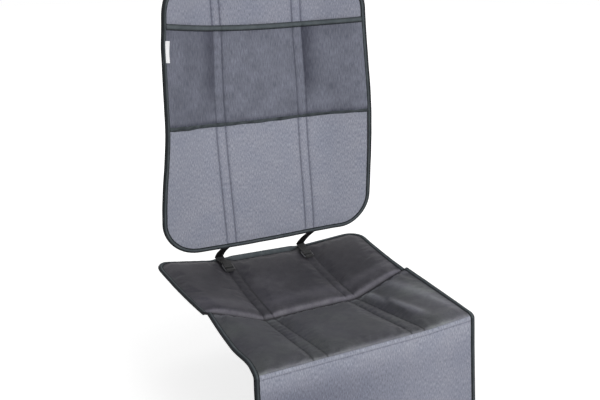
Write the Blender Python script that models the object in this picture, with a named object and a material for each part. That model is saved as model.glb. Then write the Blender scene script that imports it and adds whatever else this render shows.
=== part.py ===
"""Car seat protector mat: a folded back panel with a mesh pocket, a padded seat in two sections
and a front flap, edged with tape and joined by two short straps.

Every cloth piece is cut flat, in u (across, from the middle), v (along) and w (out of the cloth),
and is then laid on one of two curved surfaces, panel_surface() or seat_surface(), so that pieces
which lie on each other share the same curve. X is across the mat, Y runs to the back of the car
seat and Z is up. The origin lies on the flat underside that the car seat's cushion bears on.
"""

import bmesh
import bpy
from math import asin, atan2, ceil, cos, exp, hypot, pi, radians, sin, sqrt, tan
from mathutils import Matrix, Vector

# Driving dimensions, in metres and radians. A pair of values is for the left and the right side.
CLEARANCE = 0.0004
CHANNEL = 0.0945
CHANNEL_FRONT = 0.1005
TAPE_WIDTH = 0.010
TAPE_THICKNESS = 0.0008
TAPE_FOLD = 0.0005
PUFF_MARGIN = 0.004

PANEL_WIDTH = 0.486
PANEL_TOP_WIDTH = 0.468
PANEL_HEIGHT = 0.545
PANEL_THICKNESS = 0.005
PANEL_PUFF = 0.0012
PANEL_LEAN = radians(6.0)
PANEL_FOOT_CORNER = 0.072
PANEL_TOP_CORNER = 0.060
PANEL_FOOT_Y = 0.427
PANEL_FOOT_Z = 0.043
FOOT_BOW = 0.005
FOOT_BOW_REACH = 0.080
TAPER_START = 0.250
WING_FOOT_ANGLES = (radians(-1.0), radians(8.0))
WING_TOP_ANGLE = radians(28.0)
WING_RISE = 0.300
HEAD_FOLDS = (radians(4.0), 0.0)
HEAD_FOLD_START = 0.420
HEAD_FOLD_RAMP = 0.080
WING_BEND = 0.060

POCKET_FOOT = 0.265
POCKET_DROP = 0.083
POCKET_BOWS = (0.012, 0.005)
POCKET_THICKNESS = 0.0008
POCKET_SLACK = 0.0012
POCKET_TAPE_WIDTH = 0.012
FOOT_TAPE_WIDTH = 0.006
TAG_WIDTH = 0.014
TAG_LENGTH = 0.043
TAG_TOP = 0.031
TAG_THICKNESS = 0.0005

SEAT_WIDTH = 0.451
SEAT_LENGTH = 0.235
SEAT_DROP = 0.043
FRONT_RISES = (0.0, 0.007)
FRONT_RISE_FADE = 0.060
SIDE_RISES = (0.050, 0.048)
SIDE_FLARES = (0.005, 0.013)
SIDE_BEND = 0.030
PAD_BASE = 0.004
PAD_PUFF = 0.005
PAD_RAMP = 0.028
FRONT_RADIUS = 0.008
CORNER_DRAW = 0.0065
CORNER_DRAW_PLACE = 0.040
CORNER_DRAW_REACH = 0.035

REAR_LENGTH = 0.242
REAR_RISE = 0.036
REAR_SCOOP = 0.55
REAR_SIDE_RISES = (0.018, 0.012)
REAR_FRONT_HALVES = (0.242, 0.232)
REAR_HALF = 0.254
REAR_CORNER = 0.042
REAR_SHIFT = -0.007
REAR_ROLL = 0.028
CHANNEL_FILL = 0.35
RIM_PUFF = 0.009
RIM_RADIUS = 0.012

FLAP_LENGTH = 0.220
FLAP_FLARE = radians(8.0)
FLAP_CORNER = 0.035

STRAP_WIDTH = 0.020
STRAP_THICKNESS = 0.0014
STRAP_SEWN = 0.032
STRAP_BACK = 0.008
STRAP_BEND_RISE = 0.012
STRAP_STEPS = 5
BUCKLE_INSET = 0.034
BUCKLE_WIDTH = 0.026
BUCKLE_LENGTH = 0.024
BUCKLE_THICKNESS = 0.0026
BUCKLE_BAR = 0.0034
BUCKLE_SIDE = 0.0025
BUCKLE_CORNER = 0.003
TAB_THICKNESS = 0.0012

HEADREST_STRAP_WIDTH = 0.025
HEADREST_STRAP_SPAN = 0.170
HEADREST_STRAP_SEWN = 0.022
HEADREST_STRAP_SAG = 0.028
HEADREST_STRAP_DROP = 0.060

CELL = 0.026
SIDE_CELL = 0.032
CORNER_STEPS = 6
SHARP_ANGLE = radians(40.0)

POCKET_MOUTH = PANEL_HEIGHT - POCKET_DROP
PUFF_START = TAPE_WIDTH + PUFF_MARGIN
FRONT_SLOPE = -asin(SEAT_DROP / SEAT_LENGTH)
FLAP_SLOPE = pi / 2 - FLAP_FLARE
FRONT_TURN = FLAP_SLOPE - FRONT_SLOPE
FRONT_ARC = FRONT_RADIUS * FRONT_TURN
FRONT_REACH = FRONT_RADIUS * tan(FRONT_TURN / 2)
REAR_RUN = sqrt(REAR_LENGTH ** 2 - REAR_RISE ** 2)
CREASE = FRONT_ARC / 2 + SEAT_LENGTH - FRONT_REACH
REAR_END = CREASE + REAR_LENGTH
BEARING_POINT = CREASE / 2


def ease(t):
    """Smooth step from 0 to 1."""
    t = min(max(t, 0.0), 1.0)
    return t * t * (3.0 - 2.0 * t)


def mix(a, b, t):
    return a + (b - a) * t


def fold_section(u, channel, bend, turn):
    """Across the mat: flat to the channel, an arc over bend, then straight. Gives x, rise, slope."""
    side = 1.0 if u >= 0 else -1.0
    past = max(abs(u) - channel, 0.0)
    if past == 0.0 or abs(turn) < 1e-6:
        return u, 0.0, 0.0
    radius = bend / turn
    slope = min(past, bend) / radius
    rest = max(past - bend, 0.0)
    x = channel + radius * sin(slope) + rest * cos(slope)
    rise = radius * (1.0 - cos(slope)) + rest * sin(slope)
    return side * x, rise, side * slope


def right_side(u):
    """Picks the value for the side that u is on, from a pair."""
    return 1 if u > 0.0 else 0


def panel_surface(u, v, w):
    """Point of the back panel: v up from its foot, w out of its front."""
    right = right_side(u)
    turn = mix(WING_FOOT_ANGLES[right], WING_TOP_ANGLE, ease(v / WING_RISE))
    turn += HEAD_FOLDS[right] * ease((v - HEAD_FOLD_START) / HEAD_FOLD_RAMP)
    x, rise, slope = fold_section(u, CHANNEL, WING_BEND, turn)
    forward = Vector((0.0, -cos(PANEL_LEAN), sin(PANEL_LEAN)))
    upward = Vector((0.0, sin(PANEL_LEAN), cos(PANEL_LEAN)))
    foot = Vector((0.0, PANEL_FOOT_Y, PANEL_FOOT_Z))
    x_axis = Vector((1.0, 0.0, 0.0))
    normal = forward * cos(slope) - x_axis * sin(slope)
    bow = FOOT_BOW * (1.0 - (2.0 * u / PANEL_WIDTH) ** 2) * (1.0 - ease(v / FOOT_BOW_REACH))
    return foot + x_axis * x + upward * (v - bow) + forward * rise + normal * w


def seat_path(v):
    """Middle line of the seat and flap: y, z, slope and the ways back to the crease and the rear."""
    half_arc = FRONT_ARC / 2
    if v < -half_arc:
        down = FRONT_REACH - half_arc - v
        return -down * cos(FLAP_SLOPE), -down * sin(FLAP_SLOPE), FLAP_SLOPE, 0.0, 0.0
    if v < half_arc:
        turned = (v + half_arc) / FRONT_RADIUS
        slope = FLAP_SLOPE - turned
        start_y = -FRONT_REACH * cos(FLAP_SLOPE)
        start_z = -FRONT_REACH * sin(FLAP_SLOPE)
        y = start_y + FRONT_RADIUS * (sin(FLAP_SLOPE) - sin(slope))
        z = start_z + FRONT_RADIUS * (cos(slope) - cos(FLAP_SLOPE))
        return y, z, slope, 0.0, 0.0
    if v <= CREASE:
        along = FRONT_REACH + v - half_arc
        return along * cos(FRONT_SLOPE), along * sin(FRONT_SLOPE), FRONT_SLOPE, along / SEAT_LENGTH, 0.0
    t = (v - CREASE) / REAR_LENGTH
    y = SEAT_LENGTH * cos(FRONT_SLOPE) + REAR_RUN * t
    z = -SEAT_DROP + REAR_RISE * mix(t, t * t, REAR_SCOOP)
    slope = atan2(REAR_RISE * mix(1.0, 2.0 * t, REAR_SCOOP), REAR_RUN)
    return y, z, slope, 1.0, t


def seat_channel(v):
    """Channels run straight on the rear section and spread a little towards the front edge."""
    return mix(CHANNEL_FRONT, CHANNEL, min(max(v / CREASE, 0.0), 1.0))


def seat_surface(u, v, w):
    """Point of the seat or flap: v back from the front edge, w out of the top.

    The sides stand up most at the crease, and the left one is drawn in near the front corner.
    """
    y, z, slope, back, t = seat_path(v)
    channel = seat_channel(v)
    right = right_side(u)
    outer = SEAT_WIDTH / 2 - channel
    stand = mix(mix(FRONT_RISES[right], SIDE_RISES[right], back), REAR_SIDE_RISES[right], t)
    turn = asin(stand * ease(1.0 + v / FRONT_RISE_FADE) / outer)
    x, rise, tilt = fold_section(u, channel, SIDE_BEND, turn)
    if u < -channel:
        near = exp(-((v - CORNER_DRAW_PLACE) / CORNER_DRAW_REACH) ** 2)
        x += CORNER_DRAW * near * (-u - channel) / outer
    x += REAR_SHIFT * t
    rise -= REAR_ROLL * x * t
    normal = Vector((-sin(tilt), -sin(slope) * cos(tilt), cos(slope) * cos(tilt)))
    return Vector((x, y, z + rise)) + normal * w


ORIGIN = seat_surface(0.0, BEARING_POINT, -PAD_BASE)


def rounded_half(side, distance, radius):
    """Half width at a distance from an end whose corners have this radius."""
    if distance >= radius:
        return side
    return side - radius + sqrt(max(radius ** 2 - (radius - distance) ** 2, 0.0))


def inset_from(side_gap, end_gap, radius):
    """Distance to the outline from its side and end gaps, round the corner between them."""
    if side_gap < radius and end_gap < radius:
        return radius - hypot(radius - side_gap, radius - end_gap)
    return min(side_gap, end_gap)


def panel_side(v):
    return mix(PANEL_WIDTH, PANEL_TOP_WIDTH, ease((v - TAPER_START) / TAPER_START)) / 2


def panel_half(v):
    foot = rounded_half(panel_side(v), v, PANEL_FOOT_CORNER)
    return min(foot, rounded_half(panel_side(v), PANEL_HEIGHT - v, PANEL_TOP_CORNER))


def rear_side(right, v):
    return mix(REAR_FRONT_HALVES[right], REAR_HALF, (v - CREASE) / REAR_LENGTH)


def rear_half(right, v):
    return rounded_half(rear_side(right, v), REAR_END - v, REAR_CORNER)


def front_side(right, v):
    return SEAT_WIDTH / 2 + SIDE_FLARES[right] * max(v / CREASE, 0.0)


def front_half(right, v):
    return rounded_half(front_side(right, v), v + FLAP_LENGTH, FLAP_CORNER)


def between(start, end, step):
    """Evenly spaced values from start to end, no further apart than step."""
    count = max(1, ceil(abs(end - start) / step - 1e-9))
    return [mix(start, end, k / count) for k in range(count + 1)]


def joined(*runs):
    """Runs of values end to end, each shared end once."""
    values = list(runs[0])
    for run in runs[1:]:
        values += run[1:]
    return values


def corner_rows(start, radius, inward):
    """Rows along a rounded corner that starts at an end, going inward by +1 or -1."""
    steps = [k * pi / 2 / CORNER_STEPS for k in range(CORNER_STEPS + 1)]
    return [start + inward * radius * (1.0 - cos(a)) for a in steps]


def mirrored(stops):
    """Stops on the right half, with their mirror images on the left."""
    return [-s for s in reversed(stops) if s > 0] + list(stops)


def squeezed(stop, fixed, full, half):
    """A column's place where the half width is half: up to fixed it keeps its place, and past
    it the columns are drawn in from full."""
    past = abs(stop) - fixed
    if past <= 0.0:
        return stop
    place = fixed + past * (half - fixed) / (full - fixed)
    return place if stop > 0 else -place


def seam_rise(distance, ramp):
    """Height share of padding at a distance from a seam: 0 at the seam, 1 past the ramp."""
    return sin(min(max(distance / ramp, 0.0), 1.0) * pi / 2)


def panel_puff(u, v):
    """Height of the panel's front over its seams and its taped edge."""
    gap = panel_side(v) - abs(u)
    foot = inset_from(gap, v, PANEL_FOOT_CORNER)
    edge = min(foot, inset_from(gap, PANEL_HEIGHT - v, PANEL_TOP_CORNER)) - PUFF_START
    ramp = 2 * TAPE_WIDTH
    return PANEL_PUFF * seam_rise(edge, ramp) * seam_rise(abs(abs(u) - CHANNEL), ramp)


def front_puff(u, v):
    edge = min(front_side(right_side(u), v) - abs(u) - PUFF_START, CREASE - v, v)
    channel = abs(abs(u) - seat_channel(v))
    return PAD_PUFF * seam_rise(edge, PAD_RAMP) * seam_rise(channel, PAD_RAMP)


def rear_puff(u, v):
    """The rear section stands higher along its front rim, which rolls down to the crease."""
    side_gap = rear_side(right_side(u), v) - abs(u)
    edge = inset_from(side_gap, REAR_END - v, REAR_CORNER) - PUFF_START
    channel = mix(CHANNEL_FILL, 1.0, seam_rise(abs(abs(u) - CHANNEL), PAD_RAMP))
    height = mix(RIM_PUFF, PAD_PUFF, ease((v - CREASE) / (REAR_LENGTH / 2)))
    rim = seam_rise(v - CREASE, RIM_RADIUS)
    return height * rim * channel * seam_rise(edge, PAD_RAMP)


def make_material(name, colour, roughness):
    """colour is linear red, green and blue."""
    material = bpy.data.materials.new(name)
    material.use_nodes = True
    shader = material.node_tree.nodes["Principled BSDF"]
    shader.inputs["Base Color"].default_value = (*colour, 1.0)
    shader.inputs["Roughness"].default_value = roughness
    shader.inputs["Metallic"].default_value = 0.0
    return material


def add_object(name, mesh, material):
    mesh.materials.clear()
    mesh.materials.append(material)
    piece = bpy.data.objects.new(name, mesh)
    mat_collection.objects.link(piece)
    return piece


def add_slab(name, rows, columns, place, material, ring=False):
    """A flat grid given a thickness and laid out by place(row, column, upper), a closed solid.

    A ring has its last row on its first, so its end walls are taken out and the rows welded.
    """
    bm = bmesh.new()
    bmesh.ops.create_grid(bm, x_segments=len(columns) - 1, y_segments=len(rows) - 1, size=1.0)
    bmesh.ops.solidify(bm, geom=bm.faces[:], thickness=1.0)
    bm.normal_update()
    heights = [vert.co.z for vert in bm.verts]
    middle = (min(heights) + max(heights)) / 2
    last_row = len(rows) - 1
    last_column = len(columns) - 1
    places = {}
    for vert in bm.verts:
        row = round((vert.co.y + 1.0) / 2 * last_row)
        column = round((vert.co.x + 1.0) / 2 * last_column)
        places[vert] = (row, column, vert.co.z > middle)
    if ring:
        walls = []
        for face in bm.faces:
            face_rows = {places[vert][0] for vert in face.verts}
            face_sides = {places[vert][2] for vert in face.verts}
            if len(face_sides) == 2 and face_rows in ({0}, {last_row}):
                walls.append(face)
        bmesh.ops.delete(bm, geom=walls, context="FACES_ONLY")
    for vert, (row, column, upper) in places.items():
        vert.co = place(rows[row], columns[column], upper) - ORIGIN
    if ring:
        bmesh.ops.remove_doubles(bm, verts=bm.verts[:], dist=1e-6)
    bmesh.ops.recalc_face_normals(bm, faces=bm.faces[:])
    if bm.calc_volume(signed=True) < 0.0:
        bmesh.ops.reverse_faces(bm, faces=bm.faces[:])
    mesh = bpy.data.meshes.new(name)
    bm.to_mesh(mesh)
    bm.free()
    mesh.shade_smooth()
    mesh.set_sharp_from_angle(angle=SHARP_ANGLE)
    return add_object(name, mesh, material)


def add_tape(name, edge, surface, thickness, material, ring=False):
    """Edge tape folded round a cloth edge: edge is the line of (u, v) points that it follows."""
    inner_top = CLEARANCE
    inner_foot = -thickness - CLEARANCE
    inner = [
        (TAPE_WIDTH, inner_top),
        (0.0, inner_top),
        (-CLEARANCE, inner_top - TAPE_FOLD),
        (-CLEARANCE, inner_foot + TAPE_FOLD),
        (0.0, inner_foot),
        (TAPE_WIDTH, inner_foot),
    ]
    outer = [
        (TAPE_WIDTH, inner_top + TAPE_THICKNESS),
        (0.0, inner_top + TAPE_THICKNESS),
        (-CLEARANCE - TAPE_THICKNESS, inner_top - TAPE_FOLD),
        (-CLEARANCE - TAPE_THICKNESS, inner_foot + TAPE_FOLD),
        (0.0, inner_foot - TAPE_THICKNESS),
        (TAPE_WIDTH, inner_foot - TAPE_THICKNESS),
    ]
    count = len(edge) - 1 if ring else len(edge)
    inwards = []
    for k in range(count):
        before = edge[(k - 1) % count] if ring or k > 0 else edge[k]
        after = edge[(k + 1) % count] if ring or k < count - 1 else edge[k]
        du = after[0] - before[0]
        dv = after[1] - before[1]
        length = hypot(du, dv)
        inwards.append((-dv / length, du / length))
    if ring:
        inwards.append(inwards[0])

    def place(row, column, upper):
        inset, w = (outer if upper else inner)[column]
        u = edge[row][0] + inwards[row][0] * inset
        v = edge[row][1] + inwards[row][1] * inset
        return surface(u, v, w)

    rows = list(range(len(edge)))
    return add_slab(name, rows, list(range(len(inner))), place, material, ring)


def make_back_panel():
    rows = joined(
        corner_rows(0.0, PANEL_FOOT_CORNER, 1),
        between(PANEL_FOOT_CORNER, PANEL_HEIGHT - PANEL_TOP_CORNER, CELL),
        list(reversed(corner_rows(PANEL_HEIGHT, PANEL_TOP_CORNER, -1))),
    )

    def place(v, stop, upper):
        u = panel_column(stop, panel_half(v))
        return panel_surface(u, v, panel_puff(u, v) if upper else -PANEL_THICKNESS)

    add_slab("back_panel", rows, panel_stops(), place, fabric)
    right = [(panel_half(v), v) for v in rows]
    left = [(-u, v) for u, v in reversed(right)]
    top_half = panel_half(PANEL_HEIGHT)
    top = [(panel_column(stop, top_half), PANEL_HEIGHT) for stop in reversed(panel_stops())]
    foot = [(panel_column(stop, panel_half(0.0)), 0.0) for stop in panel_stops()]
    edge = joined(right, top, left, foot)
    add_tape("panel_binding", edge, panel_surface, PANEL_THICKNESS, binding_tape, ring=True)


def panel_stops():
    """Columns of the panel: at the channels, through the fold and at the tape."""
    half = PANEL_WIDTH / 2
    stops = joined(
        between(0.0, CHANNEL, 2 * CELL),
        between(CHANNEL, CHANNEL + WING_BEND, CELL),
        between(CHANNEL + WING_BEND, half - TAPE_WIDTH, 3 * CELL),
        [half - TAPE_WIDTH, half],
    )
    return mirrored(stops)


def panel_column(stop, half):
    return squeezed(stop, CHANNEL + WING_BEND, PANEL_WIDTH / 2, half)


def pocket_half(right, v):
    """Half width of the pocket, which ends at the binding."""
    return panel_half(v + POCKET_BOWS[right]) - TAPE_WIDTH - CLEARANCE


def pocket_column(stop, v):
    half = pocket_half(right_side(stop), v)
    return squeezed(stop, CHANNEL + WING_BEND, PANEL_WIDTH / 2 - TAPE_WIDTH, half)


def pocket_level(u, v):
    """Height on the panel of a pocket line, which is bowed up at its sides."""
    return v + POCKET_BOWS[right_side(u)] * (u / panel_half(v)) ** 2


def pocket_place(under, over):
    """Places a piece of the pocket between two heights over the panel."""
    def place(v, stop, upper):
        u = pocket_column(stop, v)
        level = pocket_level(u, v)
        height = over if upper else under
        return panel_surface(u, level, panel_puff(u, level) + height(v))
    return place


def pocket_lift(v):
    """Gap between the panel and the mesh, wider at the mouth where the tape wraps the mesh."""
    below_tape = v - POCKET_MOUTH + 3 * POCKET_TAPE_WIDTH
    return CLEARANCE + POCKET_SLACK * ease(below_tape / POCKET_TAPE_WIDTH)


def make_pocket():
    columns = panel_stops()[1:-1]
    mesh_rows = joined(
        between(POCKET_FOOT, POCKET_MOUTH - 3 * POCKET_TAPE_WIDTH, CELL),
        between(POCKET_MOUTH - 3 * POCKET_TAPE_WIDTH, POCKET_MOUTH, POCKET_TAPE_WIDTH),
    )
    over = lambda v: pocket_lift(v) + POCKET_THICKNESS
    add_slab("pocket_mesh", mesh_rows, columns, pocket_place(pocket_lift, over), pocket_net)

    tape_rows = [POCKET_FOOT - FOOT_TAPE_WIDTH, POCKET_FOOT - CLEARANCE]
    tape_over = lambda v: CLEARANCE + POCKET_THICKNESS + TAPE_THICKNESS
    place = pocket_place(lambda v: CLEARANCE, tape_over)
    add_slab("pocket_foot_tape", tape_rows, columns, place, binding_tape)

    lift = pocket_lift(POCKET_MOUTH)
    low = lift - CLEARANCE
    high = lift + POCKET_THICKNESS + CLEARANCE
    foot = POCKET_MOUTH - POCKET_TAPE_WIDTH
    inner = [(foot, low), (POCKET_MOUTH + CLEARANCE, low), (POCKET_MOUTH + CLEARANCE, high), (foot, high)]
    top = POCKET_MOUTH + CLEARANCE + TAPE_THICKNESS
    outer_low = low - TAPE_THICKNESS
    outer_high = high + TAPE_THICKNESS
    outer = [(foot, outer_low), (top, outer_low), (top, outer_high), (foot, outer_high)]

    def mouth_place(row, stop, upper):
        v, height = (outer if upper else inner)[row]
        u = pocket_column(stop, v)
        level = pocket_level(u, v)
        return panel_surface(u, level, panel_puff(u, level) + height)

    add_slab("pocket_mouth_tape", list(range(len(inner))), columns, mouth_place, binding_tape)

    tag_rows = between(POCKET_MOUTH - TAG_TOP - TAG_LENGTH, POCKET_MOUTH - TAG_TOP, CELL)

    def tag_place(v, inset, upper):
        u = inset - pocket_half(0, v)
        height = over(v) + CLEARANCE + (TAG_THICKNESS if upper else 0.0)
        level = pocket_level(u, v)
        return panel_surface(u, level, panel_puff(u, level) + height)

    add_slab("side_tag", tag_rows, [0.0, TAG_WIDTH], tag_place, tag_cloth)


def seat_stops(half, channel):
    """Columns of the seat and flap: at the channels, through the fold, where the padding starts
    and at the tape."""
    stops = joined(
        [0.0, channel - PAD_RAMP, channel - PAD_RAMP / 3, channel],
        [channel, channel + PAD_RAMP / 3, channel + SIDE_BEND],
        between(channel + SIDE_BEND, half - PUFF_START, SIDE_CELL),
        [half - PUFF_START, half - TAPE_WIDTH, half],
    )
    return mirrored(stops)


def make_seat_front():
    rows = joined(
        between(0.0, FRONT_ARC / 2, FRONT_ARC / 4),
        [FRONT_ARC / 2, FRONT_ARC / 2 + PAD_RAMP / 3, PAD_RAMP],
        between(PAD_RAMP, CREASE - PAD_RAMP, CELL),
        [CREASE - PAD_RAMP, CREASE - PAD_RAMP / 3, CREASE - CLEARANCE / 2],
    )
    side = SEAT_WIDTH / 2
    channel = (CHANNEL + CHANNEL_FRONT) / 2
    columns = seat_stops(side, channel)

    def column(stop, v):
        return squeezed(stop, channel + SIDE_BEND, side, front_half(right_side(stop), v))

    def place(v, stop, upper):
        u = column(stop, v)
        return seat_surface(u, v, front_puff(u, v) if upper else -PAD_BASE)

    add_slab("seat_front_pad", rows, columns, place, leather)

    flap_rows = joined(
        corner_rows(-FLAP_LENGTH, FLAP_CORNER, 1),
        between(FLAP_CORNER - FLAP_LENGTH, -FRONT_ARC / 2, 2 * CELL),
        between(-FRONT_ARC / 2, -CLEARANCE, FRONT_ARC / 4),
    )

    def flap_place(v, stop, upper):
        return seat_surface(column(stop, v), v, 0.0 if upper else -PAD_BASE)

    add_slab("front_flap", flap_rows, columns, flap_place, fabric)
    edge_rows = joined(flap_rows[:-1] + [0.0], rows)
    right = [(front_half(1, v), v) for v in edge_rows]
    left = [(-front_half(0, v), v) for v in reversed(edge_rows)]
    foot = [(column(stop, -FLAP_LENGTH), -FLAP_LENGTH) for stop in columns]
    edge = joined(left, foot, right)
    add_tape("front_binding", edge, seat_surface, PAD_BASE, binding_tape)


def make_seat_rear():
    start = CREASE + CLEARANCE / 2
    rim = RIM_RADIUS
    rows = joined(
        [start, CREASE + rim / 6, CREASE + rim / 2, CREASE + rim],
        between(CREASE + rim, REAR_END - REAR_CORNER, CELL),
        list(reversed(corner_rows(REAR_END, REAR_CORNER, -1))),
    )
    columns = seat_stops(REAR_HALF, CHANNEL)

    def column(stop, v):
        return squeezed(stop, CHANNEL + SIDE_BEND, REAR_HALF, rear_half(right_side(stop), v))

    def place(v, stop, upper):
        u = column(stop, v)
        return seat_surface(u, v, rear_puff(u, v) if upper else -PAD_BASE)

    add_slab("seat_rear_pad", rows, columns, place, leather)
    right = [(rear_half(1, v), v) for v in rows]
    left = [(-rear_half(0, v), v) for v in reversed(rows)]
    rear = [(column(stop, REAR_END), REAR_END) for stop in reversed(columns)]
    add_tape("rear_binding", joined(right, rear, left), seat_surface, PAD_BASE, binding_tape)


def smooth_route(points, steps):
    """Points of a Catmull-Rom curve through the given points."""
    ends = [points[0] * 2 - points[1]] + points + [points[-1] * 2 - points[-2]]
    route = []
    for k in range(1, len(ends) - 2):
        p0, p1, p2, p3 = ends[k - 1:k + 3]
        for step in range(steps):
            t = step / steps
            bend = p0 * (-t + 2 * t * t - t ** 3) + p1 * (2 - 5 * t * t + 3 * t ** 3)
            bend = bend + p2 * (t + 4 * t * t - 3 * t ** 3) + p3 * (t ** 3 - t * t)
            route.append(bend / 2)
    return route + [points[-1]]


def add_webbing(name, route, across, width, thickness, material):
    """Flat webbing along a route of points, centred on it, with its width along across."""
    normals = []
    for k in range(len(route)):
        ahead = route[min(k + 1, len(route) - 1)] - route[max(k - 1, 0)]
        normals.append(across.cross(ahead).normalized())

    def place(row, side, upper):
        lift = thickness / 2 if upper else -thickness / 2
        return route[row] + across * side * width / 2 + normals[row] * lift

    return add_slab(name, list(range(len(route))), [-1.0, 1.0], place, material)


def buckle_frame(side):
    """Seat of a buckle on the rear section: its middle, and the ways back and up from there.

    The buckle bears on the padding at both sides of the channel.
    """
    u = side * CHANNEL
    v = REAR_END - BUCKLE_INSET
    reach = BUCKLE_LENGTH / 2
    half = BUCKLE_WIDTH / 2
    back = seat_surface(u, v + reach, 0.0) - seat_surface(u, v - reach, 0.0)
    back.x = 0.0
    back.normalize()
    up = Vector((1.0, 0.0, 0.0)).cross(back)
    foot = seat_surface(u, v, 0.0)
    lift = 0.0
    for across in (-half, 0.0, half):
        for along in (-reach, 0.0, reach):
            padded = seat_surface(u + across, v + along, rear_puff(u + across, v + along))
            lift = max(lift, (padded - foot).dot(up))
    return foot + up * lift, back, up


def rounded_rectangle(curve, width, length, centre, radius):
    """Closed outline of a rectangle with round corners, about centre along Y."""
    spline = curve.splines.new("POLY")
    points = []
    for sx, sy, start in ((1, 1, 0.0), (-1, 1, pi / 2), (-1, -1, pi), (1, -1, 1.5 * pi)):
        for step in range(CORNER_STEPS // 2 + 1):
            angle = start + step * pi / 2 / (CORNER_STEPS // 2)
            x = sx * (width / 2 - radius) + radius * cos(angle)
            y = centre + sy * (length / 2 - radius) + radius * sin(angle)
            points.append((x, y, 0.0, 1.0))
    spline.points.add(len(points) - 1)
    for point, place in zip(spline.points, points):
        point.co = place
    spline.use_cyclic_u = True


def make_buckle(name, matrix):
    """Ladder-lock: a flat frame with three bars and two slots."""
    curve = bpy.data.curves.new(name, "CURVE")
    curve.dimensions = "2D"
    curve.fill_mode = "BOTH"
    curve.extrude = BUCKLE_THICKNESS / 2
    rounded_rectangle(curve, BUCKLE_WIDTH, BUCKLE_LENGTH, 0.0, BUCKLE_CORNER)
    slot = (BUCKLE_LENGTH - 3 * BUCKLE_BAR) / 2
    slot_width = BUCKLE_WIDTH - 2 * BUCKLE_SIDE
    for side in (-1, 1):
        centre = side * (slot + BUCKLE_BAR) / 2
        rounded_rectangle(curve, slot_width, slot, centre, BUCKLE_CORNER / 3)
    flat = bpy.data.objects.new(name + "_outline", curve)
    mat_collection.objects.link(flat)
    graph = bpy.context.evaluated_depsgraph_get()
    mesh = bpy.data.meshes.new_from_object(flat.evaluated_get(graph))
    bpy.data.objects.remove(flat)
    bm = bmesh.new()
    bm.from_mesh(mesh)
    bmesh.ops.remove_doubles(bm, verts=bm.verts[:], dist=1e-6)
    bmesh.ops.recalc_face_normals(bm, faces=bm.faces[:])
    bm.to_mesh(mesh)
    bm.free()
    piece = add_object(name, mesh, buckle_plastic)
    piece.matrix_world = matrix
    return piece


def make_strap(name, side):
    """One strap with its buckle and the sewn tab that holds the buckle."""
    middle, back, up = buckle_frame(side)
    across = Vector((1.0, 0.0, 0.0))
    tab_middle = CLEARANCE + TAB_THICKNESS / 2
    buckle_middle = 2 * CLEARANCE + TAB_THICKNESS + BUCKLE_THICKNESS / 2
    over_middle = buckle_middle + BUCKLE_THICKNESS / 2 + CLEARANCE + STRAP_THICKNESS / 2

    def local(along, height):
        return middle + back * along + up * height

    frame = Matrix.Translation(local(0.0, buckle_middle) - ORIGIN)
    turn = Matrix((across, back, up)).transposed().to_4x4()
    make_buckle("buckle_" + name, frame @ turn)

    bar = BUCKLE_BAR / 2 + CLEARANCE + TAB_THICKNESS / 2
    front_bar = -(BUCKLE_LENGTH - BUCKLE_BAR) / 2
    slot = (BUCKLE_LENGTH - 3 * BUCKLE_BAR) / 2
    tab_over = buckle_middle + BUCKLE_THICKNESS / 2 + CLEARANCE + TAB_THICKNESS / 2
    nip = TAB_THICKNESS / 2
    tab_route = [
        local(front_bar + BUCKLE_BAR / 2 + slot / 2, tab_middle),
        local(front_bar, tab_middle),
        local(front_bar - bar + nip, tab_middle),
        local(front_bar - bar, tab_middle + nip),
        local(front_bar - bar, tab_over - nip),
        local(front_bar - bar + nip, tab_over),
        local(front_bar + bar - nip, tab_over),
        local(front_bar + bar, tab_over - nip),
        local(front_bar + bar, buckle_middle),
    ]
    width = BUCKLE_WIDTH - 2 * BUCKLE_SIDE - 2 * CLEARANCE
    add_webbing("buckle_tab_" + name, tab_route, across, width, TAB_THICKNESS, webbing)

    bar = BUCKLE_BAR / 2 + CLEARANCE + STRAP_THICKNESS / 2
    under = buckle_middle - BUCKLE_THICKNESS / 2 - CLEARANCE - STRAP_THICKNESS / 2
    nip = STRAP_THICKNESS / 2
    hook = [
        local(bar, under),
        local(nip - bar, under),
        local(-bar, under + nip),
        local(-bar, over_middle - nip),
        local(nip - bar, over_middle),
        local(BUCKLE_LENGTH / 2 - BUCKLE_BAR, over_middle),
    ]
    edge_lift = CLEARANCE + TAPE_THICKNESS + CLEARANCE + STRAP_THICKNESS
    edge = seat_surface(side * CHANNEL, REAR_END, edge_lift)
    panel_u = side * CHANNEL
    hang = -PANEL_THICKNESS - 2 * CLEARANCE - TAPE_THICKNESS - STRAP_THICKNESS
    foot = panel_surface(panel_u, -STRAP_THICKNESS, hang - STRAP_THICKNESS)
    bend = Vector(((edge.x + foot.x) / 2, edge.y + STRAP_BACK, edge.z + STRAP_BEND_RISE))
    past_buckle = local(BUCKLE_LENGTH / 2 + STRAP_THICKNESS, over_middle)
    run = smooth_route([past_buckle, edge, bend, foot], STRAP_STEPS)
    run.append(panel_surface(panel_u, TAPE_WIDTH + TAPE_THICKNESS, hang))
    run.append(panel_surface(panel_u, STRAP_SEWN, -PANEL_THICKNESS - CLEARANCE - STRAP_THICKNESS / 2))
    add_webbing("strap_" + name, hook + run, across, STRAP_WIDTH, STRAP_THICKNESS, webbing)


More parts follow.
